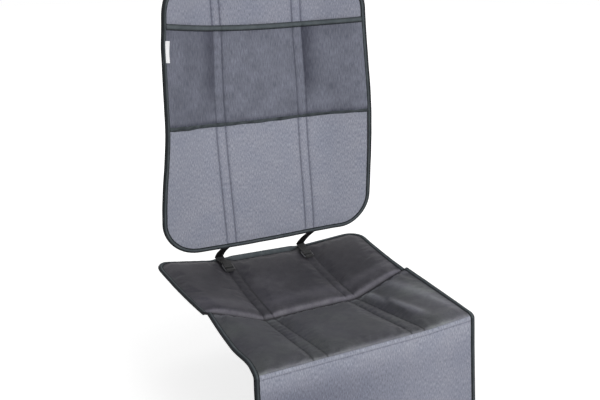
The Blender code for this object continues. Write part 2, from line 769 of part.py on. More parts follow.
def make_headrest_strap():
    """Webbing across the back of the panel's head, sewn at both ends and slack between them."""
    half = HEADREST_STRAP_SPAN / 2
    flat = half - HEADREST_STRAP_SEWN
    level = PANEL_HEIGHT - HEADREST_STRAP_DROP
    stops = [-half] + between(-flat, flat, CELL / 2) + [half]

    def place(u, v, upper):
        slack = HEADREST_STRAP_SAG * ease((flat - abs(u)) / (flat / 2))
        under = -PANEL_THICKNESS - CLEARANCE - slack
        return panel_surface(u, v, under if upper else under - STRAP_THICKNESS)

    edges = [level - HEADREST_STRAP_WIDTH / 2, level + HEADREST_STRAP_WIDTH / 2]
    add_slab("headrest_strap", stops, edges, place, webbing)


for old in list(bpy.data.objects):
    bpy.data.objects.remove(old)

mat_collection = bpy.data.collections.new("car_seat_protector_mat")
bpy.context.scene.collection.children.link(mat_collection)

fabric = make_material("grey_melange_fabric", (0.262, 0.271, 0.330), 0.90)
pocket_net = make_material("dark_pocket_mesh", (0.150, 0.156, 0.190), 0.85)
leather = make_material("charcoal_faux_leather", (0.061, 0.060, 0.066), 0.50)
binding_tape = make_material("dark_edge_tape", (0.045, 0.050, 0.055), 0.75)
webbing = make_material("black_webbing", (0.020, 0.021, 0.020), 0.80)
buckle_plastic = make_material("black_buckle_plastic", (0.015, 0.015, 0.017), 0.45)
tag_cloth = make_material("white_tag_cloth", (0.800, 0.800, 0.820), 0.80)

make_back_panel()
make_pocket()
make_seat_front()
make_seat_rear()
make_strap("left", -1)
make_strap("right", 1)
make_headrest_strap()
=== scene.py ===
"""Car seat protector mat, dressed: woven melange panel and flap, padded faux leather seat,
mesh pocket, edge tapes, webbing straps and ladder-lock buckles."""

from math import asin, atan2, ceil, cos, exp, hypot, pi, radians, sin, sqrt, tan

import bmesh
import bpy
from mathutils import Matrix, Vector, noise


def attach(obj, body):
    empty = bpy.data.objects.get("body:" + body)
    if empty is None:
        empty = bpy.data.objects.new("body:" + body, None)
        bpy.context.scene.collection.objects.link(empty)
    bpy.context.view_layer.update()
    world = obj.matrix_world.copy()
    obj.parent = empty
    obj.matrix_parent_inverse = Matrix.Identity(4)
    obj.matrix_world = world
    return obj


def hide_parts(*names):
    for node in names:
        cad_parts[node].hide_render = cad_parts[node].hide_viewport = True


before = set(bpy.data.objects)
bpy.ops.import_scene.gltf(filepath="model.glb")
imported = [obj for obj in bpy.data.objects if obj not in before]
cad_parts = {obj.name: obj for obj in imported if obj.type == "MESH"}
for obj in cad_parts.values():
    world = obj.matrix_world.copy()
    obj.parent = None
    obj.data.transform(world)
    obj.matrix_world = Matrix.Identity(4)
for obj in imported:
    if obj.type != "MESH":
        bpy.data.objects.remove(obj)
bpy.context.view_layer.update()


# Studio: a white sweep under soft lamps, seen from the front left and a little above,
# through a short telephoto lens. The floor lies at the foot of the flap.
def hex_colour(code):
    """sRGB hex to linear red, green, blue and alpha."""
    channels = [int(code[k:k + 2], 16) / 255 for k in (1, 3, 5)]
    linear = [c / 12.92 if c <= 0.04045 else ((c + 0.055) / 1.055) ** 2.4 for c in channels]
    return (*linear, 1.0)


def aim(thing, position, target):
    direction = Vector(target) - Vector(position)
    thing.location = position
    thing.rotation_euler = direction.to_track_quat("-Z", "Y").to_euler()


def add_node(tree, kind, settings=(), links=()):
    """A shader node with its settings and links; inputs go by name, or by number if names repeat."""
    node = tree.nodes.new("ShaderNode" + kind)
    for name, value in dict(settings).items():
        if name == "ramp":
            stops = node.color_ramp.elements
            while len(stops) < len(value):
                stops.new(0.5)
            for stop, (place, code) in zip(stops, value):
                stop.position = place
                stop.color = hex_colour(code)
        elif isinstance(name, int) or name in node.inputs:
            node.inputs[name].default_value = value
        else:
            setattr(node, name, value)
    for name, socket in dict(links).items():
        tree.links.new(socket, node.inputs[name])
    return node


def new_material(name, settings):
    """A material with the shader's settings. Gives it with its node tree and shader."""
    material = bpy.data.materials.new(name)
    material.use_nodes = True
    shader = material.node_tree.nodes["Principled BSDF"]
    for socket, value in settings.items():
        shader.inputs[socket].default_value = value
    return material, material.node_tree, shader


scene = bpy.context.scene
scene.view_settings.view_transform = "Standard"

VIEW_POINT = (-0.6219, -1.0884, 0.7142)
VIEW_YAW = radians(26.3)
VIEW_PITCH = radians(20.0)
FOCAL_PIXELS = 746.2
FRAME_PIXELS = 600
SENSOR = 36.0

camera_data = bpy.data.cameras.new("camera")
camera_data.sensor_width = SENSOR
camera_data.lens = FOCAL_PIXELS / FRAME_PIXELS * SENSOR
camera = bpy.data.objects.new("camera", camera_data)
camera.location = VIEW_POINT
camera.rotation_euler = (pi / 2 - VIEW_PITCH, 0.0, -VIEW_YAW)
scene.collection.objects.link(camera)
scene.camera = camera

for name, position, size, power in (
    ("key_lamp", (1.1, -2.4, 1.5), 1.8, 42.0),
    ("fill_lamp", (-2.0, -1.9, 1.3), 1.8, 14.0),
    ("top_lamp", (0.3, 0.6, 2.6), 1.6, 10.0),
):
    lamp = bpy.data.lights.new(name, "AREA")
    lamp.size = size
    lamp.energy = power
    lamp_object = bpy.data.objects.new(name, lamp)
    aim(lamp_object, position, (0.0, 0.1, 0.1))
    scene.collection.objects.link(lamp_object)

# The room is white round the sweep and darker overhead. The camera sees plain white.
world = bpy.data.worlds.new("studio")
scene.world = world
world.use_nodes = True
air = world.node_tree
direction = add_node(air, "SeparateXYZ", {}, {"Vector": add_node(air, "TexCoord").outputs["Generated"]})
room = add_node(
    air, "MapRange", {"From Min": 0.1, "From Max": 0.6, "To Min": 0.75, "To Max": 0.22},
    {"Value": direction.outputs["Z"]},
)
rays = add_node(air, "LightPath")
bent = add_node(
    air, "Math", {"operation": "MAXIMUM"},
    {0: rays.outputs["Is Glossy Ray"], 1: rays.outputs["Is Transmission Ray"]},
)
seen = add_node(air, "Math", {"operation": "MAXIMUM"}, {0: rays.outputs["Is Camera Ray"], 1: bent.outputs[0]})
strength = add_node(air, "MapRange", {"To Max": 1.0}, {"Value": seen.outputs[0], "To Min": room.outputs[0]})
air.nodes["Background"].inputs["Color"].default_value = (1.0, 1.0, 1.0, 1.0)
air.links.new(strength.outputs[0], air.nodes["Background"].inputs["Strength"])

# Floor: a matt white sweep. What the camera sees of it is lifted to white by a little glow, and
# the object's soft shadow stays.
FLOOR_LEVEL = -0.1975
FLOOR_RADIUS = 9.0
bm = bmesh.new()
level = Matrix.Translation((0.0, 0.0, FLOOR_LEVEL))
bmesh.ops.create_circle(bm, cap_ends=True, segments=64, radius=FLOOR_RADIUS, matrix=level)
floor_mesh = bpy.data.meshes.new("sweep")
bm.to_mesh(floor_mesh)
bm.free()
floor = bpy.data.objects.new("sweep", floor_mesh)
scene.collection.objects.link(floor)
paper, tree, shader = new_material(
    "matt_white_sweep", {"Base Color": hex_colour("#dcdcdc"), "Roughness": 1.0, "Specular IOR Level": 0.0},
)
rays = add_node(tree, "LightPath")
spread = add_node(tree, "VectorMath", {"operation": "LENGTH"}, {0: add_node(tree, "TexCoord").outputs["Object"]})
lift = add_node(
    tree, "MapRange", {"From Min": 0.5, "From Max": 2.0, "To Min": 0.68, "To Max": 1.1},
    {"Value": spread.outputs["Value"]},
)
glow = add_node(tree, "Math", {"operation": "MULTIPLY"}, {0: rays.outputs["Is Camera Ray"], 1: lift.outputs[0]})
shader.inputs["Emission Color"].default_value = (1.0, 1.0, 1.0, 1.0)
tree.links.new(glow.outputs[0], shader.inputs["Emission Strength"])
floor_mesh.materials.append(paper)


# Back panel: 5 mm foam between a woven melange face and a knitted backing, cut flat and sewn
# through in two channels, past which its sides fold forward on the car seat's bolsters.
CLEARANCE = 0.0004
CHANNEL = 0.0945
PAIR = 0.0103
TAPE_WIDTH = 0.0085
PANEL_WIDTH = 0.486
PANEL_TOP_WIDTH = 0.468
PANEL_HEIGHT = 0.545
PANEL_THICKNESS = 0.005
PANEL_PUFF = 0.0018
PANEL_LEAN = radians(6.0)
PANEL_FOOT_CORNER = 0.072
PANEL_TOP_CORNER = 0.060
PANEL_FOOT = Vector((0.0, 0.31128, 0.06861))
FOOT_BOW = 0.005
FOOT_BOW_REACH = 0.080
TAPER_START = 0.250
WING_FOOT_ANGLES = (radians(-1.0), radians(8.0))
WING_TOP_ANGLE = radians(28.0)
WING_RISE = 0.300
HEAD_FOLDS = (radians(4.0), 0.0)
HEAD_FOLD_START = 0.420
HEAD_FOLD_RAMP = 0.080
WING_BEND = 0.060
CORNER_STEPS = 14
GRID = 0.0045
SEAM_STEP = 0.004
THREAD = 0.0005
STITCH_LIFT = 0.0001
SHARP_ANGLE = radians(50.0)


def ease(t):
    """Smooth step from 0 to 1."""
    t = min(max(t, 0.0), 1.0)
    return t * t * (3.0 - 2.0 * t)


def mix(a, b, t):
    return a + (b - a) * t


def rough(x, y, seed):
    """Even noise from -1 to 1."""
    return noise.noise(Vector((x, y, seed)))


def fold_section(u, channel, bend, turn):
    """Across the mat: flat to the channel, an arc over bend, then straight. Gives x, rise, slope."""
    side = 1.0 if u >= 0 else -1.0
    past = max(abs(u) - channel, 0.0)
    if past == 0.0 or abs(turn) < 1e-6:
        return u, 0.0, 0.0
    radius = bend / turn
    slope = min(past, bend) / radius
    rest = max(past - bend, 0.0)
    x = channel + radius * sin(slope) + rest * cos(slope)
    rise = radius * (1.0 - cos(slope)) + rest * sin(slope)
    return side * x, rise, side * slope


def right_side(u):
    return 1 if u > 0.0 else 0


def panel_surface(u, v, w):
    """Point of the back panel: v up from its foot, w out of its front."""
    right = right_side(u)
    turn = mix(WING_FOOT_ANGLES[right], WING_TOP_ANGLE, ease(v / WING_RISE))
    turn += HEAD_FOLDS[right] * ease((v - HEAD_FOLD_START) / HEAD_FOLD_RAMP)
    x, rise, slope = fold_section(u, CHANNEL, WING_BEND, turn)
    forward = Vector((0.0, -cos(PANEL_LEAN), sin(PANEL_LEAN)))
    upward = Vector((0.0, sin(PANEL_LEAN), cos(PANEL_LEAN)))
    x_axis = Vector((1.0, 0.0, 0.0))
    normal = forward * cos(slope) - x_axis * sin(slope)
    bow = FOOT_BOW * (1.0 - (2.0 * u / PANEL_WIDTH) ** 2) * (1.0 - ease(v / FOOT_BOW_REACH))
    return PANEL_FOOT + x_axis * x + upward * (v - bow) + forward * rise + normal * w


def rounded_half(side, distance, radius):
    """Half width at a distance from an end whose corners have this radius."""
    if distance >= radius:
        return side
    return side - radius + sqrt(max(radius ** 2 - (radius - distance) ** 2, 0.0))


def inset_from(side_gap, end_gap, radius):
    """Distance to the outline from its side and end gaps, round the corner between them."""
    if side_gap < radius and end_gap < radius:
        return radius - hypot(radius - side_gap, radius - end_gap)
    return min(side_gap, end_gap)


def panel_side(v):
    return mix(PANEL_WIDTH, PANEL_TOP_WIDTH, ease((v - TAPER_START) / TAPER_START)) / 2


def panel_half(v):
    foot = rounded_half(panel_side(v), v, PANEL_FOOT_CORNER)
    return min(foot, rounded_half(panel_side(v), PANEL_HEIGHT - v, PANEL_TOP_CORNER))


def seam_rise(distance, ramp):
    """Height share of padding at a distance from a seam: 0 at the seam, 1 past the ramp."""
    return sin(min(max(distance / ramp, 0.0), 1.0) * pi / 2)


def seam_gap(u, seams):
    return min(abs(u - seam) for seam in seams)


def panel_seams(v):
    """The four stitch lines. They lean a little to the left on their way up."""
    left = -CHANNEL - 0.006 * ease(v / 0.25) + 0.006 * ease((v - 0.30) / 0.16)
    right = CHANNEL - 0.0056 * ease(v / 0.25) - 0.0042 * ease((v - 0.30) / 0.15)
    pair = PAIR * (1.0 - 0.15 * ease((v - 0.27) / 0.18))
    return [left - pair, left + pair, right - PAIR, right + PAIR]


def panel_relief(u, v):
    """Height of the panel's face: drawn in along the seams, with soft waves between them."""
    gap = panel_side(v) - abs(u)
    foot = inset_from(gap, v, PANEL_FOOT_CORNER)
    edge = min(foot, inset_from(gap, PANEL_HEIGHT - v, PANEL_TOP_CORNER)) - TAPE_WIDTH - 0.002
    seam = seam_gap(u, panel_seams(v))
    puff = PANEL_PUFF * seam_rise(edge, 0.016) * mix(-0.30, 1.0, seam_rise(seam, 0.008))
    waves = 0.0013 * rough(u * 8, v * 5, 1.7) + 0.0005 * rough(u * 30, v * 14, 4.2)
    puckers = 0.0003 * sin(v * 560 + 3 * rough(u * 20, v * 12, 8.0)) * exp(-seam / 0.006)
    return puff + (waves + puckers) * seam_rise(edge, 0.03)


def between(start, end, step):
    """Evenly spaced values from start to end, no further apart than step."""
    count = max(1, ceil(abs(end - start) / step - 1e-9))
    return [mix(start, end, k / count) for k in range(count + 1)]


def joined(*runs):
    """Runs of values end to end, each shared end once."""
    values = list(runs[0])
    for run in runs[1:]:
        values += run[1:]
    return values


def lines_near(low, high, step, seams):
    """Grid lines no further apart than step, and close together beside each seam."""
    offsets = (-0.006, -0.003, -0.0012, 0.0, 0.0012, 0.003, 0.006)
    marks = {seam + offset for seam in seams for offset in offsets}
    marks = [low, *sorted(mark for mark in marks if low + 0.0005 < mark < high - 0.0005), high]
    return joined(*(between(a, b, step) for a, b in zip(marks, marks[1:])))


def corner_rows(start, radius, inward):
    """Rows along a rounded corner that starts at an end, going inward by +1 or -1."""
    steps = [k * pi / 2 / CORNER_STEPS for k in range(CORNER_STEPS + 1)]
    return [start + inward * radius * (1.0 - cos(a)) for a in steps]


def follow(stop, rest, now):
    """A column's place once the lines that it lies between have moved from rest to now."""
    for k in range(len(rest) - 1):
        if stop <= rest[k + 1] + 1e-9:
            share = (stop - rest[k]) / (rest[k + 1] - rest[k])
            return mix(now[k], now[k + 1], share)
    return now[-1]


def lay_cloth(name, rows, columns, place, flat, ring=False, marks=None):
    """Cloth of some thickness: a flat grid, solidified and laid out by place(row, column, upper).

    flat gives the same point on the flat cloth in metres, for the weave. marks holds values kept
    for each point by name, such as shade: the painted shade and painted highlight in its colour.
    A ring is closed.
    """
    bm = bmesh.new()
    cut = bm.loops.layers.uv.new("cloth")
    marks = marks or {}
    for mark in marks:
        bm.verts.layers.float.new(mark)
    bmesh.ops.create_grid(bm, x_segments=len(columns) - 1, y_segments=len(rows) - 1, size=1.0)
    bmesh.ops.solidify(bm, geom=bm.faces[:], thickness=1.0)
    heights = [vert.co.z for vert in bm.verts]
    middle = (min(heights) + max(heights)) / 2
    last_row = len(rows) - 1
    last_column = len(columns) - 1
    places = {}
    for vert in bm.verts:
        row = round((vert.co.y + 1.0) / 2 * last_row)
        column = round((vert.co.x + 1.0) / 2 * last_column)
        places[vert] = (row, column, vert.co.z > middle)
    for face in bm.faces:
        face.material_index = 0 if any(places[vert][2] for vert in face.verts) else 1
        for loop in face.loops:
            row, column, upper = places[loop.vert]
            loop[cut].uv = flat(rows[row], columns[column])
    if ring:
        walls = []
        for face in bm.faces:
            face_rows = {places[vert][0] for vert in face.verts}
            face_sides = {places[vert][2] for vert in face.verts}
            if len(face_sides) == 2 and face_rows in ({0}, {last_row}):
                walls.append(face)
        bmesh.ops.delete(bm, geom=walls, context="FACES_ONLY")
    for vert, (row, column, upper) in places.items():
        vert.co = place(rows[row], columns[column], upper)
        for mark, value in marks.items():
            vert[bm.verts.layers.float[mark]] = value(rows[row], columns[column], upper)
    if ring:
        bmesh.ops.remove_doubles(bm, verts=bm.verts[:], dist=1e-6)
    bmesh.ops.recalc_face_normals(bm, faces=bm.faces[:])
    if bm.calc_volume(signed=True) < 0.0:
        bmesh.ops.reverse_faces(bm, faces=bm.faces[:])
    return finish_piece(name, bm)


def finish_piece(name, bm):
    mesh = bpy.data.meshes.new(name)
    bm.to_mesh(mesh)
    bm.free()
    mesh.shade_smooth()
    mesh.set_sharp_from_angle(angle=SHARP_ANGLE)
    piece = bpy.data.objects.new(name, mesh)
    scene.collection.objects.link(piece)
    return piece


def dress(piece, slot, materials, *nodes):
    """Gives a piece its finish, and has it ride on the mat and stand for CAD nodes."""
    for material in materials:
        piece.data.materials.append(material)
    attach(piece, "root")
    if nodes:
        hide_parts(*nodes)


def stitch(name, slot, material, paths, pitch=0.0035, length=0.0028):
    """Thread along paths of (point, normal): one small bead for each stitch that shows."""
    bm = bmesh.new()
    for path in paths:
        walked = 0.0
        due = pitch / 2
        for (here, normal), (there, _) in zip(path, path[1:]):
            step = (there - here).length
            while due <= walked + step and step > 0.0:
                ahead = (there - here) / step
                side = normal.cross(ahead).normalized()
                axes = Matrix((ahead * length, side * THREAD, normal.normalized() * THREAD)).transposed().to_4x4()
                middle = Matrix.Translation(here + ahead * (due - walked))
                bmesh.ops.create_icosphere(bm, subdivisions=1, radius=0.5, matrix=middle @ axes)
                due += pitch
            walked += step
    dress(finish_piece(name, bm), slot, [material])


def seam_path(surface, relief, points, lift):
    """Points and normals on a surface, a little over its relief, for stitching."""
    path = []
    for u, v in points:
        foot = surface(u, v, 0.0)
        normal = surface(u, v, 1.0) - foot
        path.append((foot + normal * (relief(u, v) + lift), normal))
    return path


def cloth_material(name, settings):
    """A material on the flat cloth. Gives it with its node tree, shader and place on the cloth."""
    material, tree, shader = new_material(name, settings)
    return material, tree, shader, add_node(tree, "UVMap", {"uv_map": "cloth"}).outputs["UV"]


def finish_shader(tree, shader, layers, height=None, strength=0.4, depth=0.0004, invert=False, colour=None):
    """Ramps, each over its own value, multiplied into the colour, and a height as bump."""
    for ramp, value in layers:
        layer = add_node(tree, "ValToRGB", {"ramp": ramp}, {"Fac": value}).outputs[0]
        if colour is None:
            colour = layer
        else:
            both = {1: colour, 2: layer}
            colour = add_node(tree, "MixRGB", {"blend_type": "MULTIPLY", "Fac": 1.0}, both).outputs[0]
    tree.links.new(colour, shader.inputs["Base Color"])
    if height is not None:
        settings = {"Strength": strength, "Distance": depth, "invert": invert}
        bump = add_node(tree, "Bump", settings, {"Height": height})
        tree.links.new(bump.outputs[0], shader.inputs["Normal"])


# Woven polyester melange: light and dark yarn ends show as short upright streaks 1.6 mm wide
# and 7 mm long. The plain weave of about 0.7 mm is drawn at 1.4 mm, so that it shows. Painted
# shade darkens it along the seams, where it is drawn in, and down the flap towards its left;
# it is also darker towards the panel's head.
melange, tree, shader, cloth = cloth_material(
    "woven_polyester_melange", {"Roughness": 0.92, "Sheen Weight": 0.08, "Sheen Roughness": 0.6},
)
ends = add_node(tree, "Mapping", {"Scale": (640.0, 150.0, 1.0)}, {"Vector": cloth}).outputs[0]
streaks = add_node(tree, "TexNoise", {"Scale": 1.0, "Detail": 3.0, "Roughness": 0.6}, {"Vector": ends}).outputs["Fac"]
patches = add_node(tree, "TexNoise", {"Scale": 17.0, "Detail": 3.0}, {"Vector": cloth}).outputs["Fac"]
warp = add_node(tree, "TexWave", {"Scale": 224.0, "bands_direction": "X"}, {"Vector": cloth}).outputs["Fac"]
weft = add_node(tree, "TexWave", {"Scale": 224.0, "bands_direction": "Y"}, {"Vector": cloth}).outputs["Fac"]
weave = add_node(tree, "Math", {"operation": "MULTIPLY_ADD"}, {0: warp, 1: weft, 2: streaks}).outputs[0]
# Painted shade, kept on each piece as its shade attribute.
fold = add_node(tree, "Attribute", {"attribute_name": "shade"}).outputs["Fac"]
finish_shader(tree, shader, [
    ([(0.28, "#7a7d8a"), (0.45, "#999ba8"), (0.55, "#a3a5b2"), (0.74, "#c0c2cf")], streaks),
    ([(0.30, "#f0f3f7"), (0.70, "#ffffff")], patches),
    ([(0.0, "#ffffff"), (1.0, "#aaabb4")], fold),
], weave, 0.35)

# Knitted polyester backing on the hidden face of the foam: even dark grey, matte.
backing, tree, shader, cloth = cloth_material("knitted_polyester_backing", {"Roughness": 0.95})
knit = add_node(tree, "TexVoronoi", {"Scale": 600.0}, {"Vector": cloth}).outputs["Distance"]
finish_shader(tree, shader, [([(0.1, "#55575c"), (0.7, "#3f4145")], knit)], knit)


def spun_thread(name, tones, settings):
    """Spun polyester thread: fine twist, slight sheen."""
    material, tree, shader = new_material(name, settings)
    twist = add_node(tree, "TexNoise", {"Scale": 900.0}, {"Vector": add_node(tree, "TexCoord").outputs["Object"]})
    finish_shader(tree, shader, [(tones, twist.outputs["Fac"])])
    return material


# Grey thread for the melange, like the cloth in colour.
thread = spun_thread(
    "spun_polyester_thread", [(0.35, "#565a66"), (0.65, "#6e7280")], {"Roughness": 0.6, "Sheen Weight": 0.1},
)

panel_rows = joined(
    corner_rows(0.0, PANEL_FOOT_CORNER, 1),
    between(PANEL_FOOT_CORNER, PANEL_HEIGHT - PANEL_TOP_CORNER, GRID),
    list(reversed(corner_rows(PANEL_HEIGHT, PANEL_TOP_CORNER, -1))),
)
panel_lines = lines_near(-PANEL_WIDTH / 2, PANEL_WIDTH / 2, 0.005, panel_seams(0.0))
panel_rest = [-PANEL_WIDTH / 2, *panel_seams(0.0), PANEL_WIDTH / 2]


def columns_of(rest, half, seams):
    """Gives a function for a line's place across a row, as edges and seams move from their rest."""
    return lambda stop, v: follow(stop, rest, [-half(0, v), *seams(v), half(1, v)])


def lay_sheet(name, rows, lines, column, surface, over, under, **marks):
    """Cloth cut to an outline and laid on a surface, with its faces at the heights over and under.

    marks are given by name as functions of (u, v, upper).
    """
    def place(v, stop, upper):
        u = column(stop, v)
        return surface(u, v, over(u, v) if upper else under(u, v))

    def at_row(mark):
        return lambda v, stop, upper: mark(column(stop, v), v, upper)

    marks = {key: at_row(mark) for key, mark in marks.items()}
    return lay_cloth(name, rows, lines, place, lambda v, stop: (column(stop, v), v), marks=marks)


# Painted shade along the seams, where the cloth is drawn in; the panel is also darker towards its head.
def panel_shade(u, v, upper):
    gap = seam_gap(u, panel_seams(v))
    head = 0.22 * ease((v - 0.40) / 0.08)
    return 0.06 + head + 0.75 * exp(-(gap / 0.0015) ** 2) + 0.15 * exp(-(gap / 0.006) ** 2)


panel_column = columns_of(panel_rest, lambda right, v: panel_half(v), panel_seams)
panel = lay_sheet(
    "panel", panel_rows, panel_lines, panel_column, panel_surface, panel_relief, lambda u, v: -PANEL_THICKNESS,
    shade=panel_shade,
)
dress(panel, "grey_melange_fabric", [melange, backing], "back_panel")

# Channel stitching: lockstitch with 3.5 mm stitches, sunk into the foam.
levels = between(TAPE_WIDTH, PANEL_HEIGHT - TAPE_WIDTH, SEAM_STEP)
stitch("panel_stitching", "grey_melange_fabric", thread, [
    seam_path(panel_surface, panel_relief, [(panel_seams(v)[k], v) for v in levels], STITCH_LIFT) for k in range(4)
])


# Edge tape: 20 mm woven polyester tape folded over the raw edge and stitched through, so that
# 8 to 9 mm shows on each face. The stitch line lies 1.5 mm from its inner edge.
TAPE_SEAM = 0.0071
TAPE_SEAM_LIFT = 0.0009
TAPE_CLOTH = 0.0007


def tape_profile(thickness):
    """Inset and height of the folded tape, from the front's inner edge round to the back's."""
    front = [
        (0.0087, 0.0004), (0.0083, 0.0010), (0.0076, 0.0009), (TAPE_SEAM, 0.0006), (0.0066, 0.0010),
        (0.0056, 0.0017), (0.0040, 0.0021), (0.0022, 0.0017), (0.0008, 0.0008), (-0.0006, -0.0004),
        (-0.0013, -0.0016),
    ]
    return front + [(-0.0015, -thickness / 2)] + [(inset, -thickness - w) for inset, w in reversed(front)]


def tape_shade(inset, u, v):
    """Painted shade: darkest round the tape's outer fold and in its stitch line, and none between."""
    outer = 0.8 if inset < 0.0 else 0.8 * exp(-(inset / 0.0026) ** 2)
    stitched = 0.85 * exp(-((inset - 0.0076) / 0.0013) ** 2)
    return min(outer + stitched, 1.0)


def lay_tape(name, edge, surface, relief, thickness, seed, ring=False, shade=tape_shade):
    """Folded tape along an edge of (u, v) points, with the slight ripple that sewing leaves."""
    profile = tape_profile(thickness)
    count = len(edge) - 1 if ring else len(edge)
    inwards = []
    for k in range(count):
        before = edge[(k - 1) % count] if ring or k > 0 else edge[k]
        after = edge[(k + 1) % count] if ring or k < count - 1 else edge[k]
        du = after[0] - before[0]
        dv = after[1] - before[1]
        length = hypot(du, dv)
        inwards.append((-dv / length, du / length))
    if ring:
        inwards.append(inwards[0])
    lengths = [0.0]
    for (u0, v0), (u1, v1) in zip(edge, edge[1:]):
        lengths.append(lengths[-1] + hypot(u1 - u0, v1 - v0))

    def inset_point(row, inset):
        return edge[row][0] + inwards[row][0] * inset, edge[row][1] + inwards[row][1] * inset

    def place(row, column, upper):
        inset, w = profile[column]
        way = lengths[row] / lengths[-1] * 2 * pi if ring else lengths[row]
        turn = (cos(way) * 9 + seed, sin(way) * 9) if ring else (way * 22, seed)
        wander = 0.0004 * rough(turn[0], turn[1], 2.0)
        ripple = 1.0 + 0.25 * rough(turn[0] * 5, turn[1] * 5, 6.0)
        if w > 0.0:
            w *= ripple
        if not upper:
            inset += 0.0006 if -thickness <= w <= 0.0 else 0.0
            if w > 0.0:
                w = max(w - TAPE_CLOTH, 0.00005)
            elif w < -thickness:
                w = min(w + TAPE_CLOTH, -thickness - 0.00005)
        u, v = inset_point(row, inset + wander)
        lift = relief(u, v) * ease((inset + wander) / TAPE_WIDTH) if w > 0.0 else 0.0
        return surface(u, v, w + lift)

    def flat(row, column):
        steps = zip(profile[:column], profile[1:column + 1])
        return lengths[row], sum(hypot(a[0] - b[0], a[1] - b[1]) for a, b in steps)

    marks = {"shade": lambda row, column, upper: shade(profile[column][0], *edge[row % count])}
    tape = lay_cloth(name, list(range(len(edge))), list(range(len(profile))), place, flat, ring, marks)
    return tape, [inset_point(k, TAPE_SEAM) for k in range(count)]


def side_runs(half, rows):
    """The right and left sides of an outline, in the order that goes round it."""
    return [(half(1, v), v) for v in rows], [(-half(0, v), v) for v in reversed(rows)]


def end_run(start, end, v):
    return [(u, v) for u in between(start, end, 0.005)]


# Woven polyester tape, dark slate: fine ribs of 0.8 mm across it, drawn at 1.6 mm.
edge_tape, tree, shader, cloth = cloth_material(
    "woven_polyester_tape", {"Roughness": 0.8, "Specular IOR Level": 0.2, "Sheen Weight": 0.04},
)
wave = {"Scale": 196.0, "bands_direction": "X", "Distortion": 0.6}
ribs = add_node(tree, "TexWave", wave, {"Vector": cloth}).outputs["Fac"]
wear = add_node(tree, "TexNoise", {"Scale": 60.0, "Detail": 4.0}, {"Vector": cloth}).outputs["Fac"]
mixed = add_node(tree, "Math", {"operation": "MULTIPLY_ADD", 1: 0.35}, {0: ribs, 2: wear}).outputs[0]
# Painted shade, laid on by each tape's shade marks.
fold = add_node(tree, "Attribute", {"attribute_name": "shade"}).outputs["Fac"]
finish_shader(tree, shader, [
    ([(0.35, "#495054"), (0.95, "#62696d")], mixed),
    ([(0.0, "#ffffff"), (0.5, "#8d8f92"), (1.0, "#3f4144")], fold),
], ribs)

# Dark thread for the tapes and the leather: slate.
dark_thread = spun_thread("spun_polyester_thread_dark", [(0.35, "#2e3134"), (0.65, "#454a4e")], {"Roughness": 0.55})

right, left = side_runs(lambda right, v: panel_half(v), panel_rows)
top_half = panel_half(PANEL_HEIGHT)
foot_half = panel_half(0.0)
panel_edge = joined(right, end_run(top_half, -top_half, PANEL_HEIGHT), left, end_run(-foot_half, foot_half, 0.0))
panel_tape, seam = lay_tape("panel_tape", panel_edge, panel_surface, panel_relief, PANEL_THICKNESS, 3.0, ring=True)
dress(panel_tape, "dark_edge_tape", [edge_tape, edge_tape], "panel_binding")
stitch("panel_tape_stitching", "dark_edge_tape", dark_thread, [
    seam_path(panel_surface, panel_relief, seam, TAPE_SEAM_LIFT),
])


# Pocket: one layer of fine knitted mesh across the panel, sewn along its foot, the channels and
# the sides, and open at the top, where it stands off the panel a little.
POCKET_FOOT = 0.265
POCKET_MOUTH = PANEL_HEIGHT - 0.083
POCKET_BOWS = (0.012, 0.005)
POCKET_THICKNESS = 0.0008
POCKET_SLACK = 0.0042


def pocket_half(right, v):
    return panel_half(v + POCKET_BOWS[right]) - TAPE_WIDTH + 0.001


pocket_column = columns_of(panel_rest, pocket_half, panel_seams)


def pocket_level(u, v):
    """Height on the panel of a pocket line, which is bowed up at its sides."""
    return v + POCKET_BOWS[right_side(u)] * (u / panel_half(v)) ** 2


def pocket_lift(u, v):
    """Gap between the panel and the mesh: none at the seams, most at the mouth between them."""
    height = min(max((v - POCKET_FOOT) / (POCKET_MOUTH - POCKET_FOOT), 0.0), 1.0)
    stops = [-pocket_half(0, v), *panel_seams(v), pocket_half(1, v)]
    open_share = 0.0
    for k in (0, 2, 4):
        if stops[k] < u < stops[k + 1]:
            open_share = max(sin(pi * (u - stops[k]) / (stops[k + 1] - stops[k])), 0.0) ** 0.7
    slack = POCKET_SLACK * open_share * mix(0.35, 1.0, height) * seam_rise(v - POCKET_FOOT, 0.03)
    folds = 0.0016 * rough(u * 14 + v * 22, v * 12 - u * 9, 5.1) + 0.0007 * rough(u * 45 + v * 30, v * 30, 2.6)
    foot_puckers = 0.0012 * max(rough(u * 90, v * 20, 7.7), 0.0) * exp(-(v - POCKET_FOOT) / 0.02)
    folds = max(folds + 0.0006, 0.0) * min(open_share * 2, 1.0) * seam_rise(v - POCKET_FOOT, 0.02)
    return CLEARANCE + slack + folds + foot_puckers


def pocket_surface(u, v, w):
    level = pocket_level(u, v)
    return panel_surface(u, level, panel_relief(u, level) + w)


# Knitted mesh, 1.2 mm holes in a honeycomb, drawn at 2.4 mm. Painted shade mixes it from its
# own tone to a darker one, for the panel's shade seen through its holes where the mesh stands
# off the panel.
pocket_net, tree, shader, cloth = cloth_material(
    "knitted_polyester_mesh", {"Roughness": 0.85, "Specular IOR Level": 0.3, "Sheen Weight": 0.05},
)
holes = add_node(tree, "TexVoronoi", {"Scale": 420.0, "Randomness": 0.25}, {"Vector": cloth}).outputs["Distance"]
patches = add_node(tree, "TexNoise", {"Scale": 26.0, "Detail": 4.0, "Roughness": 0.6}, {"Vector": cloth}).outputs["Fac"]
